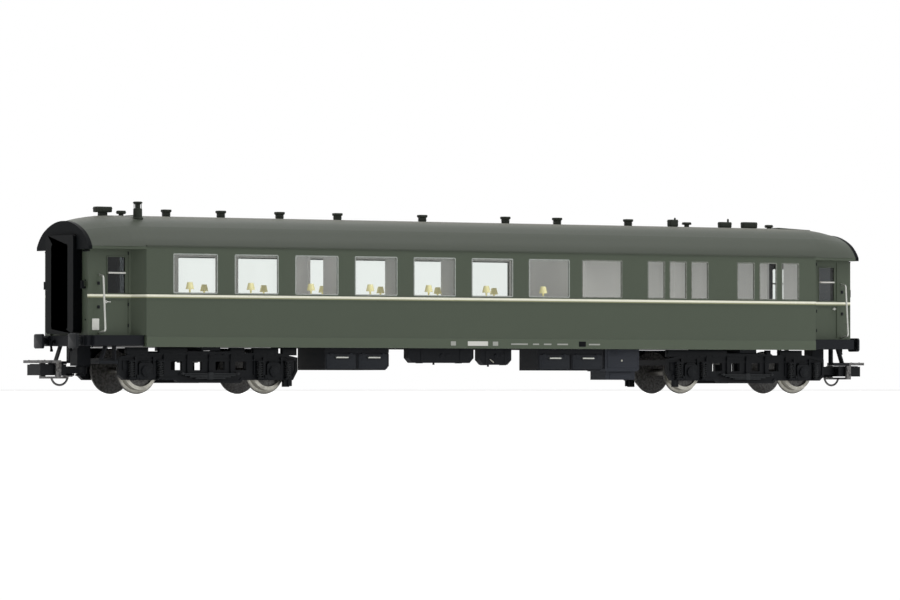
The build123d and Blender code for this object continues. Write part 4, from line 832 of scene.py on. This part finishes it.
def makeRoofBoxes():
    # each box: middle, length, width, height over the ridge, foot over the ridge
    look = {"boxes": ((-119.9, 5.0, 2.4, 2.4, 0.8), (-114.0, 2.6, 1.3, 1.4, 0.4),
                      (74.5, 3.0, 1.8, 2.1, 0.0), (79.6, 2.6, 1.6, 1.4, 0.6), (93.6, 4.2, 1.7, 1.7, 0.0),
                      (102.6, 5.1, 1.9, 1.8, 0.0), (110.0, 2.3, 1.5, 1.1, 0.2)),
            "spikes": ((75.3, 2.8), (94.8, 2.8)), "stemSink": 0.9, "stemRise": 0.3, "lip": 0.05,
            "lipFoot": 0.62, "lipTop": 0.5, "slotted": 3.5, "slots": 4, "slotHalf": 0.12, "slotOut": 0.06,
            "slotFoot": 0.3, "slotTop": 0.8, "spikeFoot": 1.0, "spike": 0.3, "spikeTip": 0.2,
            "spikeShoulder": 0.35, "spikeNeck": 0.25}
    ridge = coach["ridge"]
    bm = bmesh.new()
    for x, length, width, height, foot in look["boxes"]:
        base = ridge + foot
        top = ridge + height
        addPad(bm, x, 0, length / 2, width / 2, base, top - tuck, 0.28, 3)
        stem = length / 4 if foot else length / 2 - look["lip"]
        addPad(bm, x, 0, stem, width / 4, ridge - look["stemSink"], base + look["stemRise"], 0.05, 1)
        addPad(bm, x, 0, length / 2 + look["lip"], width / 2 + look["lip"], top - look["lipFoot"],
               top - look["lipTop"], 0.04, 1)
        if length > look["slotted"]:
            for k in range(look["slots"]):
                slot = x - length / 2 + length * (k + 1) / (look["slots"] + 1)
                addPad(bm, slot, 0, look["slotHalf"], width / 2 + look["slotOut"], base + look["slotFoot"],
                       top - look["slotTop"], 0.03, 1)
    for x, height in look["spikes"]:
        profile = ((look["spike"], look["spikeFoot"]), (look["spike"], height - look["spikeShoulder"]),
                   (look["spikeTip"], height - look["spikeNeck"]), (0, height - tuck))
        addTurned(bm, Matrix.Translation((x, 0, ridge)), profile, 10)
    finishPiece("roofBoxes", bm, "fitting", "coach", ["roof_boxes"])


def makeChimney():
    look = {"x": -112.3, "y": -6.5, "posts": 4, "postRing": 1.05, "postFoot": 1.8, "postTop": 3.3,
            "postRadius": 0.1,
            "profile": ((1.6, -1.6), (1.55, -0.75), (1.28, -0.65), (1.25, 1.7), (1.1, 1.85), (0.75, 1.9),
                        (0.75, 2.9), (0.95, 3.15), (1.33, 3.25), (1.35, 3.55), (1.1, 3.75), (0, 3.79))}
    ridge = coach["ridge"]
    bm = bmesh.new()
    addTurned(bm, Matrix.Translation((look["x"], look["y"], ridge)), look["profile"], 24)
    for k in range(look["posts"]):
        turn = 2 * math.pi * (k + 0.5) / look["posts"]
        x = look["x"] + look["postRing"] * math.cos(turn)
        y = look["y"] + look["postRing"] * math.sin(turn)
        addRod(bm, (x, y, ridge + look["postFoot"]), (x, y, ridge + look["postTop"]), look["postRadius"],
               sides=6)
    finishPiece("stoveChimney", bm, "fitting", "coach", ["stove_chimney"])


def makeWalkPlates():
    # thin walkway plates that follow the ridge down at its ends; each: inner x, outer x, half width
    look = {"plates": ((111.5, 123.3, 3.0), (-110.6, -117.2, 1.5)), "rise": 0.2, "depth": 1.6,
            "drop": 0.55, "edgeReach": 0.2}
    ridge = coach["ridge"]
    bm = bmesh.new()
    for inner, outer, half in look["plates"]:
        part = bmesh.new()
        addPad(part, (inner + outer) / 2, 0, abs(outer - inner) / 2, half, ridge - look["depth"],
               ridge + look["rise"], 0.06)
        for vert in part.verts:
            if vert.co.z > ridge and abs(vert.co.x - outer) < look["edgeReach"]:
                vert.co.z -= look["drop"]
        addPart(bm, part, Matrix())
        part.free()
    finishPiece("walkPlates", bm, "roof", "coach", ["roof_plate"])


makeVentilators()
makeRoofBoxes()
makeChimney()
makeWalkPlates()


# Underfloor: battery doors, tank bands, case fittings, floor ribs
def makeBatteryDoors():
    look = {"face": -14.0, "foot": 7.15, "top": 11.3, "boxes": ((-55.7, -34.3), (16.7, 39.9)),
            "margin": 1.1, "doors": (0.25, 0.75), "rise": 0.14, "panelDrop": 0.35, "panelIn": (1.4, 2.0),
            "panelRise": 0.06, "hinges": (-0.34, 0.34), "pinHalf": 0.55, "pinOut": 0.16, "pinLift": 0.12,
            "pinRadius": 0.17, "leafHalf": 0.3, "leafOut": 0.2, "leafDrop": 0.9, "leafLift": 0.1,
            "latches": (-0.45, 0.45), "latchLift": 0.5, "bolts": 9, "boltInset": 1.2, "boltZ": 12.9}
    height = look["top"] - look["foot"]
    z = (look["top"] + look["foot"]) / 2
    bm = bmesh.new()
    for x0, x1 in look["boxes"]:
        width = (x1 - x0) / 2 - look["margin"]
        for part in look["doors"]:
            x = x0 + (x1 - x0) * part
            addPlate(bm, alongY(x, look["face"], z, -1), width, height, look["rise"], 0.35, 0.06)
            addPlate(bm, alongY(x, look["face"] - look["rise"], z - look["panelDrop"], -1),
                     width - look["panelIn"][0], height - look["panelIn"][1], look["panelRise"], 0.3, 0.03)
            for place in look["hinges"]:
                hinge = x + width * place
                pinY = look["face"] - look["pinOut"]
                pinZ = look["top"] + look["pinLift"]
                addRod(bm, (hinge - look["pinHalf"], pinY, pinZ), (hinge + look["pinHalf"], pinY, pinZ),
                       look["pinRadius"], sides=8)
                addBlock(bm, (hinge - look["leafHalf"], look["face"] - look["leafOut"],
                              look["top"] - look["leafDrop"]),
                         (hinge + look["leafHalf"], look["face"], look["top"] + look["leafLift"]), 0.05, 1)
            for place in look["latches"]:
                addBolt(bm, (x + width * place, look["face"] - look["rise"],
                             look["foot"] + look["latchLift"]), (0, -1, 0), 0.15, 0.12)
        for k in range(look["bolts"]):
            x = x0 + look["boltInset"] + (x1 - x0 - 2 * look["boltInset"]) * k / (look["bolts"] - 1)
            addBolt(bm, (x, look["face"], look["boltZ"]), (0, -1, 0), 0.16, 0.12)
    finishPiece("batteryDoors", bm, "door", "coach")


def makeTankTrim():
    # each tank: start, end, foot
    look = {"face": -12.6, "tanks": ((-26.8, -4.56, 8.9), (-2.46, 8.5, 8.4)), "bands": (0.2, 0.8),
            "bandHalf": 0.35, "bandRise": 0.12, "bandBack": -9.88, "bandTop": 14.0, "boltZ": 13.2,
            "gaugeZ": 11.0, "gauge": ((0, 0.25), (0.45, 0.25), (0.55, 0.15), (0.7, 0.0)), "drainX": -1.8,
            "drainY": -11.3, "drainDrop": 0.55, "drainRise": 0.1, "drainRadius": 0.3, "plateX": 2.4,
            "plateZ": 11.2}
    bm = bmesh.new()
    for x0, x1, foot in look["tanks"]:
        for part in look["bands"]:
            x = x0 + (x1 - x0) * part
            addBlock(bm, (x - look["bandHalf"], look["face"] - look["bandRise"], foot - look["bandRise"]),
                     (x + look["bandHalf"], look["bandBack"], look["bandTop"]), bevel=0.06)
            addBolt(bm, (x, look["face"] - look["bandRise"], look["boltZ"]), (0, -1, 0), 0.2, 0.15)
        middle = (x0 + x1) / 2
        drainX = middle + look["drainX"]
        addTurned(bm, alongY(middle, look["face"], look["gaugeZ"], -1), look["gauge"], 14)
        addRod(bm, (drainX, look["drainY"], foot - look["drainDrop"]),
               (drainX, look["drainY"], foot + look["drainRise"]), look["drainRadius"])
        addPlate(bm, alongY(middle + look["plateX"], look["face"], look["plateZ"], -1), 1.7, 1.0, 0.08, 0.2,
                 0.03)
    finishPiece("tankBands", bm, "underframe", "coach")


def makeIndicators():
    # a pointer on the small tank, a round marker and two blank labels on the apparatus case
    look = {"pointer": ((1.0, -12.7, 10.0), (2.3, -12.7, 9.1)), "pointerRadius": 0.12, "case": -13.0,
            "markerX": 47.0, "markerZ": 9.75, "marker": ((0, 0.2), (0.28, 0.2), (0.36, 0.0)),
            "labels": (42.6, 51.6), "labelZ": 12.4}
    bm = bmesh.new()
    addRod(bm, *look["pointer"], look["pointerRadius"], sides=8)
    addTurned(bm, alongY(look["markerX"], look["case"], look["markerZ"], -1), look["marker"], 14)
    for x in look["labels"]:
        addPlate(bm, alongY(x, look["case"], look["labelZ"], -1), 0.9, 0.6, 0.08, 0.12, 0.03)
    finishPiece("indicatorMarks", bm, "bulkLight", "coach")


def makeCaseTrim():
    look = {"face": -13.0, "x0": 41.1, "x1": 53.3, "lidZ": 10.4, "lidWidth": 10.6, "lidHeight": 5.4,
            "lidRise": 0.14, "vents": 5, "ventStart": -4.6, "ventStop": -1.2, "ventFoot": 11.2,
            "ventPitch": 0.38, "ventHeight": 0.16, "ventOut": 0.24, "ventIn": 0.1, "boltInset": 1.2,
            "boltZ": (7.6, 12.6), "boltOut": 0.12, "pipeY": -11.0, "pipeZ": 12.6, "pipeStart": -1.3,
            "pipeStop": 0.1, "pipeRadius": 0.3, "lowHalf": 3.8, "lowFace": -12.14, "lowBack": -11.95,
            "lowFoot": 4.3, "lowTop": 6.3}
    middle = (look["x0"] + look["x1"]) / 2
    bm = bmesh.new()
    addPlate(bm, alongY(middle, look["face"], look["lidZ"], -1), look["lidWidth"], look["lidHeight"],
             look["lidRise"], 0.4, 0.06)
    for k in range(look["vents"]):
        foot = look["ventFoot"] + k * look["ventPitch"]
        addBlock(bm, (middle + look["ventStart"], look["face"] - look["ventOut"], foot),
                 (middle + look["ventStop"], look["face"] - look["ventIn"], foot + look["ventHeight"]),
                 bevel=0.04, segments=1)
    for x in (look["x0"] + look["boltInset"], look["x1"] - look["boltInset"]):
        for height in look["boltZ"]:
            addBolt(bm, (x, look["face"] - look["boltOut"], height), (0, -1, 0), 0.18, 0.14)
    addRod(bm, (look["x0"] + look["pipeStart"], look["pipeY"], look["pipeZ"]),
           (look["x0"] + look["pipeStop"], look["pipeY"], look["pipeZ"]), look["pipeRadius"])
    addBlock(bm, (middle - look["lowHalf"], look["lowFace"], look["lowFoot"]),
             (middle + look["lowHalf"], look["lowBack"], look["lowTop"]), bevel=0.08)
    finishPiece("caseLid", bm, "box", "coach")


def makeFloorRibs():
    # stiffening ribs under the floor plate, the brake pipe clipped to them, the brake cylinder
    look = {"foot": 13.35, "floor": 14.02, "reach": 58.0, "pitch": 8.3, "railY": 5.4, "railHalf": 0.35,
            "crossHalf": 0.25, "crossReach": 15.4, "crossFoot": 13.5, "pipeRadius": 0.32,
            "pipe": ((-60, 8.6, 13.3), (-30, 8.6, 13.3), (-28, 7.8, 13.2), (30, 7.8, 13.2), (32, 8.6, 13.3),
                     (60, 8.6, 13.3)), "cylinder": (58.2, 3.0, 12.4),
            "cylinderProfile": ((0, 0), (1.2, 0.1), (1.35, 0.4), (1.35, 6.6), (1.1, 7.0), (0.3, 7.1),
                                (0.3, 9.0), (0, 9.0))}
    bm = bmesh.new()
    for side in signs:
        addPad(bm, 0, side * look["railY"], look["reach"], look["railHalf"], look["foot"], look["floor"],
               0.08, 1)
    count = int(2 * look["reach"] / look["pitch"])
    for k in range(count + 1):
        x = -look["reach"] + k * 2 * look["reach"] / count
        addPad(bm, x, 0, look["crossHalf"], look["crossReach"], look["crossFoot"], look["floor"], 0.06, 1)
    addPipe(bm, look["pipe"], look["pipeRadius"])
    addTurned(bm, Matrix.Translation(look["cylinder"]) @ Matrix.Rotation(-math.pi / 2, 4, "Y"),
              look["cylinderProfile"], 18)
    finishPiece("floorRibs", bm, "underframe", "coach")


makeBatteryDoors()
makeTankTrim()
makeIndicators()
makeCaseTrim()
makeFloorRibs()


# Doors and vestibule walls: window frames, levers, hinges, steps, blank plates
def makeDoorFittings():
    look = {"sill": 28.0, "depth": 10.0, "width": 5.5, "face": 12.4, "frame": 0.34, "frameRise": 0.16,
            "handleX": 3.1, "handleZ": 25.6, "rose": ((0, 0.5), (0.16, 0.5), (0.2, 0.1), (0.42, 0.0)),
            "leverOut": 0.45, "leverStart": 0.2, "leverReach": 1.1, "leverDrop": 0.1, "leverRadius": 0.13,
            "hingeX": 3.8, "hingeZ": (18.6, 24.4, 38.6), "hingeHeight": 0.9, "hingeOut": 0.14,
            "hingeRadius": 0.17, "stopX": 128.1, "stopZ": (24.1, 30.7)}
    silver = bmesh.new()
    green = bmesh.new()
    dark = bmesh.new()
    half = look["width"] / 2
    strip = look["frame"]
    top = look["sill"] + look["depth"]
    out = (look["face"], look["face"] + look["frameRise"])
    for sign, side in corners:
        x = sign * coach["doorX"]
        for z in (look["sill"] - strip, top):
            addSideBlock(green, side, (x - half - strip, x + half + strip), out, (z, z + strip), 0.06, 1)
        for edge in (-half - strip, half):
            addSideBlock(green, side, (x + edge, x + edge + strip), out, (look["sill"], top), 0.06, 1)
        handleX = x + sign * look["handleX"]
        leverY = side * (look["face"] + look["leverOut"])
        addTurned(silver, alongY(handleX, side * look["face"], look["handleZ"], side), look["rose"], 12)
        addRod(silver, (handleX + sign * look["leverStart"], leverY, look["handleZ"]),
               (handleX - sign * look["leverReach"], leverY, look["handleZ"] - look["leverDrop"]),
               look["leverRadius"], sides=8)
        hingeX = x - sign * look["hingeX"]
        hingeY = side * (look["face"] + look["hingeOut"])
        for z in look["hingeZ"]:
            addRod(dark, (hingeX, hingeY, z), (hingeX, hingeY, z + look["hingeHeight"]), look["hingeRadius"],
                   sides=8)
        for z in look["stopZ"]:
            addPlate(dark, alongY(sign * look["stopX"], side * coach["vestibuleHalf"], z, side),
                     0.7, 0.9, 0.28, 0.15, 0.06)
    finishPiece("doorHandles", silver, "rail", "coach")
    finishPiece("doorFrames", green, "body", "coach")
    finishPiece("doorHinges", dark, "underframe", "coach")


def makeSteps():
    look = {"x0": 123.2, "x1": 129.0, "y0": 12.3, "y1": 14.9, "top": 9.1, "ridges": 6, "ridgeStart": 0.25,
            "ridgePitch": 0.42, "ridgeHalf": 0.07, "ridgeInset": 0.15, "ridgeSink": 0.02,
            "ridgeRise": 0.12, "lipX": 0.1, "lipIn": 0.05, "lipOut": 0.1, "lipDrop": 0.75, "lipRise": 0.1,
            "boltX": (0.25, 2.9), "boltOut": 1.72, "boltZ": 12.6}
    bm = bmesh.new()
    for sign, side in corners:
        for k in range(look["ridges"]):
            out = look["y0"] + look["ridgeStart"] + k * look["ridgePitch"]
            addSideBlock(bm, side, (sign * (look["x0"] + look["ridgeInset"]),
                                    sign * (look["x1"] - look["ridgeInset"])),
                         (out - look["ridgeHalf"], out + look["ridgeHalf"]),
                         (look["top"] - look["ridgeSink"], look["top"] + look["ridgeRise"]), 0.03, 1)
        addSideBlock(bm, side, (sign * (look["x0"] - look["lipX"]), sign * (look["x1"] + look["lipX"])),
                     (look["y1"] - look["lipIn"], look["y1"] + look["lipOut"]),
                     (look["top"] - look["lipDrop"], look["top"] + look["lipRise"]), 0.05, 1)
        for x in (look["x0"] + look["boltX"][0], look["x1"] - look["boltX"][1]):
            addBolt(bm, (sign * x, side * (look["y0"] + look["boltOut"]), look["boltZ"]), (0, side, 0), 0.2,
                    0.14)
    finishPiece("stepTreads", bm, "underframe", "coach")


def makePlates():
    # blank printed panels along the sill, each: start, end, foot, top
    look = {"face": 16.87, "rise": 0.05, "corner": 0.08,
            "grey": ((-15.1, -13.4, 13.9, 15.1), (-0.7, 1.1, 13.9, 15.1), (5.6, 11.4, 14.2, 14.6),
                     (13.2, 15.3, 14.2, 14.6), (17.0, 19.6, 14.2, 14.6), (21.7, 25.4, 14.2, 14.6),
                     (32.8, 36.7, 14.2, 14.6)), "white": (-9.3, -2.4, 13.85, 15.15), "endX": -129.0,
            "endZ": 19.3}

    def addPanel(bm, x0, x1, z0, z1):
        addPlate(bm, alongY((x0 + x1) / 2, -look["face"], (z0 + z1) / 2, -1), x1 - x0, z1 - z0, look["rise"],
                 look["corner"])

    bm = bmesh.new()
    for panel in look["grey"]:
        addPanel(bm, *panel)
    finishPiece("blankPlates", bm, "print", "coach")
    bm = bmesh.new()
    addPlate(bm, alongY(look["endX"], -coach["vestibuleHalf"], look["endZ"], -1), 2.2, 3.2, 0.12, 0.15, 0.04)
    addPanel(bm, *look["white"])
    finishPiece("whitePlates", bm, "white", "coach")


def makeEndBolts():
    # a black sill plate, bolts beside the gangway and a lip over each corner post
    look = {"plateX": 30.5, "plateFace": -16.87, "plateZ": 14.5, "boltX": 131.3, "boltY": 11.0,
            "boltZ": (20.6, 31.5), "lipX": (130.7, 131.42), "lipY": (9.4, 12.6), "lipZ": (39.45, 39.95)}
    bm = bmesh.new()
    addPlate(bm, alongY(look["plateX"], look["plateFace"], look["plateZ"], -1), 2.4, 1.5, 0.08, 0.15, 0.03)
    for sign, side in corners:
        for z in look["boltZ"]:
            addBolt(bm, (sign * look["boltX"], side * look["boltY"], z), (sign, 0, 0), 0.25, 0.15)
        addSideBlock(bm, side, [sign * x for x in look["lipX"]], look["lipY"], look["lipZ"], 0.1)
    finishPiece("endBolts", bm, "endBlack", "coach")


def makeSkirtBead():
    look = {"height": 15.85, "radius": 0.09, "start": 115.0}
    bm = bmesh.new()
    for side in signs:
        y = side * coach["halfWidth"]
        addRod(bm, (-look["start"], y, look["height"]), (look["start"], y, look["height"]), look["radius"],
               sides=8)
    finishPiece("skirtBead", bm, "body", "coach")


makeDoorFittings()
makeSteps()
makePlates()
makeEndBolts()
makeSkirtBead()


# Couplers: pin heads, centring spring, loop rivets
def makeCouplerTrim(end, sign):
    look = {"pivotX": 126.9, "z": 6.7, "railStart": 134.0, "railStop": 141.0, "railY": (2.9, 3.5),
            "railZ": (8.15, 8.38), "pin": ((0, 0.1), (1.3, 0.1), (1.4, 0.0)), "pinLift": 1.0,
            "coilRadius": 0.5, "coilWire": 0.1, "coilPitch": 0.34, "coilTurns": 9, "coilX": 129.3,
            "rodZ": 5.35, "rodStart": 128.9, "rodStop": 133.6, "rodRadius": 0.28}
    bm = bmesh.new()
    for side in signs:
        addSideBlock(bm, side, (sign * look["railStart"], sign * look["railStop"]), look["railY"],
                     look["railZ"], 0.08)
    addTurned(bm, Matrix.Translation((sign * look["pivotX"], 0, look["z"] + look["pinLift"])),
              look["pin"], 18)
    spring = coilPart(look["coilRadius"], look["coilWire"], look["coilPitch"], look["coilTurns"], wireSides=6,
                      steps=10)
    addPart(bm, spring, alongX(sign * look["coilX"], 0, look["rodZ"], sign))
    spring.free()
    addRod(bm, (sign * look["rodStart"], 0, look["rodZ"]), (sign * look["rodStop"], 0, look["rodZ"]),
           look["rodRadius"])
    finishPiece("couplerTrim_" + end, bm, "coupler", "coupler_" + end)


def makeBailRivets(end, sign):
    look = {"pinX": 136.4, "pinY": 5.0, "pinZ": 6.7, "rivet": ((0, 0.16), (0.42, 0.16), (0.55, 0.0)),
            "boltX": (137.6, 140.6), "boltY": 4.6, "boltZ": 9.4}
    bm = bmesh.new()
    for side in signs:
        addTurned(bm, alongY(sign * look["pinX"], side * look["pinY"], look["pinZ"], side), look["rivet"], 14)
        for x in look["boltX"]:
            addBolt(bm, (sign * x, side * look["boltY"], look["boltZ"]), (0, 0, 1), 0.2, 0.1)
    finishPiece("bailRivets_" + end, bm, "bail", "bail_" + end)


for end, sign in ends:
    makeCouplerTrim(end, sign)
    makeBailRivets(end, sign)


# Saloon: padded chairs, laid tables, turned lamps
def makeChairs():
    look = {"front": 3.925, "seatDepth": 3.7, "backThick": 0.9, "lean": 0.4, "width": 6.4, "wall": 14.85,
            "seat": 5.0, "slab": 1.3, "back": 10.4, "backFoot": 2.0, "overlap": 0.1, "baseInset": 0.6,
            "baseSide": 0.4, "ribs": 3, "ribHalf": 0.09, "ribIn": 0.12, "ribOut": 0.05, "ribFoot": 0.6,
            "ribTop": 0.8}
    y0 = look["wall"] - look["width"]
    y1 = look["wall"]
    seat = look["seat"]
    back = look["front"] + look["seatDepth"]
    rear = back + look["backThick"]
    bm = bmesh.new()
    for x in bayPlaces:
        for direction in signs:
            part = bmesh.new()
            addBlock(part, (look["front"], y0, seat - look["slab"]),
                     (back + look["overlap"], y1, seat), 0.35, 3)
            addBlock(part, (look["front"] + look["baseInset"], y0 + look["baseSide"], 0),
                     (rear, y1 - look["baseSide"], seat - look["slab"] + look["overlap"]), 0.1)
            addBlock(part, (back, y0, look["backFoot"]), (rear, y1, look["back"]), 0.35, 3)
            for k in range(look["ribs"]):
                y = y0 + look["width"] * (k + 1) / (look["ribs"] + 1)
                addBlock(part, (back - look["ribIn"], y - look["ribHalf"], seat + look["ribFoot"]),
                         (back + look["ribOut"], y + look["ribHalf"], look["back"] - look["ribTop"]), 0.04, 1)
            for vert in part.verts:
                above = max(0.0, vert.co.z - seat) / (look["back"] - seat)
                vert.co.x += look["lean"] * above
            for side in signs:
                mirror = Matrix.Diagonal((direction, side, 1, 1))
                addPart(bm, part, Matrix.Translation((x, 0, coach["trayTop"])) @ mirror)
            part.free()
    finishPiece("paddedChairs", bm, "seat", "coach", ["chairs"])


def makeTableware():
    look = {"wall": 14.85, "depth": 6.65, "half": 2.48, "drop": 1.1, "rise": 0.1, "sink": 0.08,
            "potX": 1.5, "potIn": 1.6, "plateX": -1.4, "plateIn": 3.2,
            "lamp": ((0, 0), (0.8, 0), (0.8, 0.2), (0.5, 0.36), (0.26, 0.5), (0.22, 1.6), (0.3, 2.5),
                     (0.22, 2.62), (1.2, 2.62), (1.16, 2.9), (0.78, 4.5), (0.7, 4.58), (0, 4.6)),
            "pot": ((0, 0), (0.5, 0), (0.66, 0.35), (0.6, 0.9), (0.4, 1.15), (0.16, 1.2), (0.16, 1.4),
                    (0, 1.42)), "plate": ((0, 0), (0.7, 0.02), (0.9, 0.12), (0.85, 0.16), (0, 0.1))}
    cloths = bmesh.new()
    lamps = bmesh.new()
    pots = bmesh.new()
    top = coach["tableTop"]
    foot = top + look["sink"]
    for x in bayPlaces:
        for side in signs:
            addSideBlock(cloths, side, (x - look["half"], x + look["half"]),
                         (look["wall"] - look["depth"], look["wall"]),
                         (top - look["drop"], top + look["rise"]), 0.14)
            addTurned(lamps, Matrix.Translation((x, side * coach["lampY"], foot)), look["lamp"], 18)
            potY = side * (coach["lampY"] - look["potIn"])
            plateY = side * (coach["lampY"] - look["plateIn"])
            addTurned(pots, Matrix.Translation((x + look["potX"], potY, foot)), look["pot"], 14)
            addTurned(pots, Matrix.Translation((x + look["plateX"], plateY, foot)), look["plate"], 14)
    finishPiece("tableCloths", cloths, "cloth", "coach")
    finishPiece("saloonLamps", lamps, "cream", "coach", ["table_lamps"])
    finishPiece("tablePots", pots, "pot", "coach")


def makeWindowPanels():
    # pale inner walls beside the far windows; each: bay, reach in from the window's edge
    look = {"y": 15.2, "thickness": 0.4, "half": 7.15, "foot": 28.0, "top": 39.2, "overlap": 1.2,
            "panels": ((0, 1.9), (1, 2.2), (3, 3.4), (4, 4.2), (5, 4.6))}
    bm = bmesh.new()
    for bay, reach in look["panels"]:
        edge = bayPlaces[bay] + look["half"]
        addBlock(bm, (edge - reach, look["y"], look["foot"]),
                 (edge + look["overlap"], look["y"] + look["thickness"], look["top"]), bevel=0.1)
    finishPiece("windowPanels", bm, "inside", "coach")


makeChairs()
makeTableware()
makeWindowPanels()


# Stage: a camera at floor level, a pale floor, soft lights
def seenDirectly(tree):
    path = addNode(tree, "ShaderNodeLightPath")
    seen = calc(tree, "MAXIMUM", path.outputs["Is Camera Ray"], path.outputs["Is Transmission Ray"])
    return calc(tree, "MAXIMUM", seen, path.outputs["Is Glossy Ray"])


def makeStage():
    look = {"place": (-0.83565, -1.30036, 0.00144), "azimuth": 32.582, "pitch": 0.9606, "lens": 212.0,
            "floorSize": 16.0, "floor": srgb(243, 243, 241), "floorPaler": srgb(247, 247, 246),
            "floorGlow": 0.5, "worldStrength": 0.4, "aim": (0, 0, 0.03)}
    scene = bpy.context.scene
    camera = bpy.data.objects.new("camera", bpy.data.cameras.new("camera"))
    camera.data.lens = look["lens"]
    camera.data.sensor_width = 36.0
    camera.data.clip_start = 0.01
    camera.location = look["place"]
    camera.rotation_euler = (math.radians(90 + look["pitch"]), 0, -math.radians(look["azimuth"]))
    scene.collection.objects.link(camera)
    scene.camera = camera

    bm = bmesh.new()
    bmesh.ops.create_grid(bm, x_segments=8, y_segments=8, size=look["floorSize"] / 2)
    mesh = bpy.data.meshes.new("floor")
    bm.to_mesh(mesh)
    bm.free()
    material, tree, shader, where = startMaterial("floorPale")
    cloud = addNode(tree, "ShaderNodeTexNoise", Vector=where, Scale=3.0, Detail=2.0).outputs["Fac"]
    tree.links.new(mixColor(tree, cloud, look["floor"], look["floorPaler"]), shader.inputs["Base Color"])
    shader.inputs["Roughness"].default_value = 0.9
    shader.inputs["Specular IOR Level"].default_value = 0.1
    # white in view and in reflections, while the shadow stays
    strength = calc(tree, "MULTIPLY", seenDirectly(tree), look["floorGlow"])
    glow = addNode(tree, "ShaderNodeEmission", Strength=strength)
    lifted = addNode(tree, "ShaderNodeAddShader", i0=shader.outputs[0], i1=glow.outputs[0])
    tree.links.new(lifted.outputs[0], tree.nodes["Material Output"].inputs["Surface"])
    mesh.materials.append(material)
    floor = bpy.data.objects.new("floor", mesh)
    scene.collection.objects.link(floor)

    # name, place, size, watts
    lamps = (
        ("lampKey", (0.45, -0.6, 1.2), (1.1, 0.6), 7.5),
        ("lampFill", (0.7, -1.2, 0.4), (1.1, 0.5), 1.3),
        ("lampTop", (0.0, 0.2, 1.2), (1.2, 0.6), 3.0),
        ("lampBack", (0.2, 1.2, 0.8), (1.2, 0.6), 3.0),
    )
    for name, place, size, watts in lamps:
        lamp = bpy.data.lights.new(name, "AREA")
        lamp.shape = "RECTANGLE"
        lamp.size, lamp.size_y = size
        lamp.energy = watts
        holder = bpy.data.objects.new(name, lamp)
        holder.location = place
        aim = Vector(look["aim"]) - Vector(place)
        holder.rotation_euler = aim.to_track_quat("-Z", "Y").to_euler()
        scene.collection.objects.link(holder)

    world = bpy.data.worlds.new("studio")
    world.use_nodes = True
    scene.world = world
    tree = world.node_tree
    back = tree.nodes["Background"]
    back.inputs["Color"].default_value = (1, 1, 1, 1)
    strength = addNode(tree, "ShaderNodeMapRange", i0=seenDirectly(tree), i3=look["worldStrength"], i4=1.0)
    tree.links.new(strength.outputs[0], back.inputs["Strength"])
    scene.view_settings.view_transform = "Standard"
    print("stage made")


makeStage()
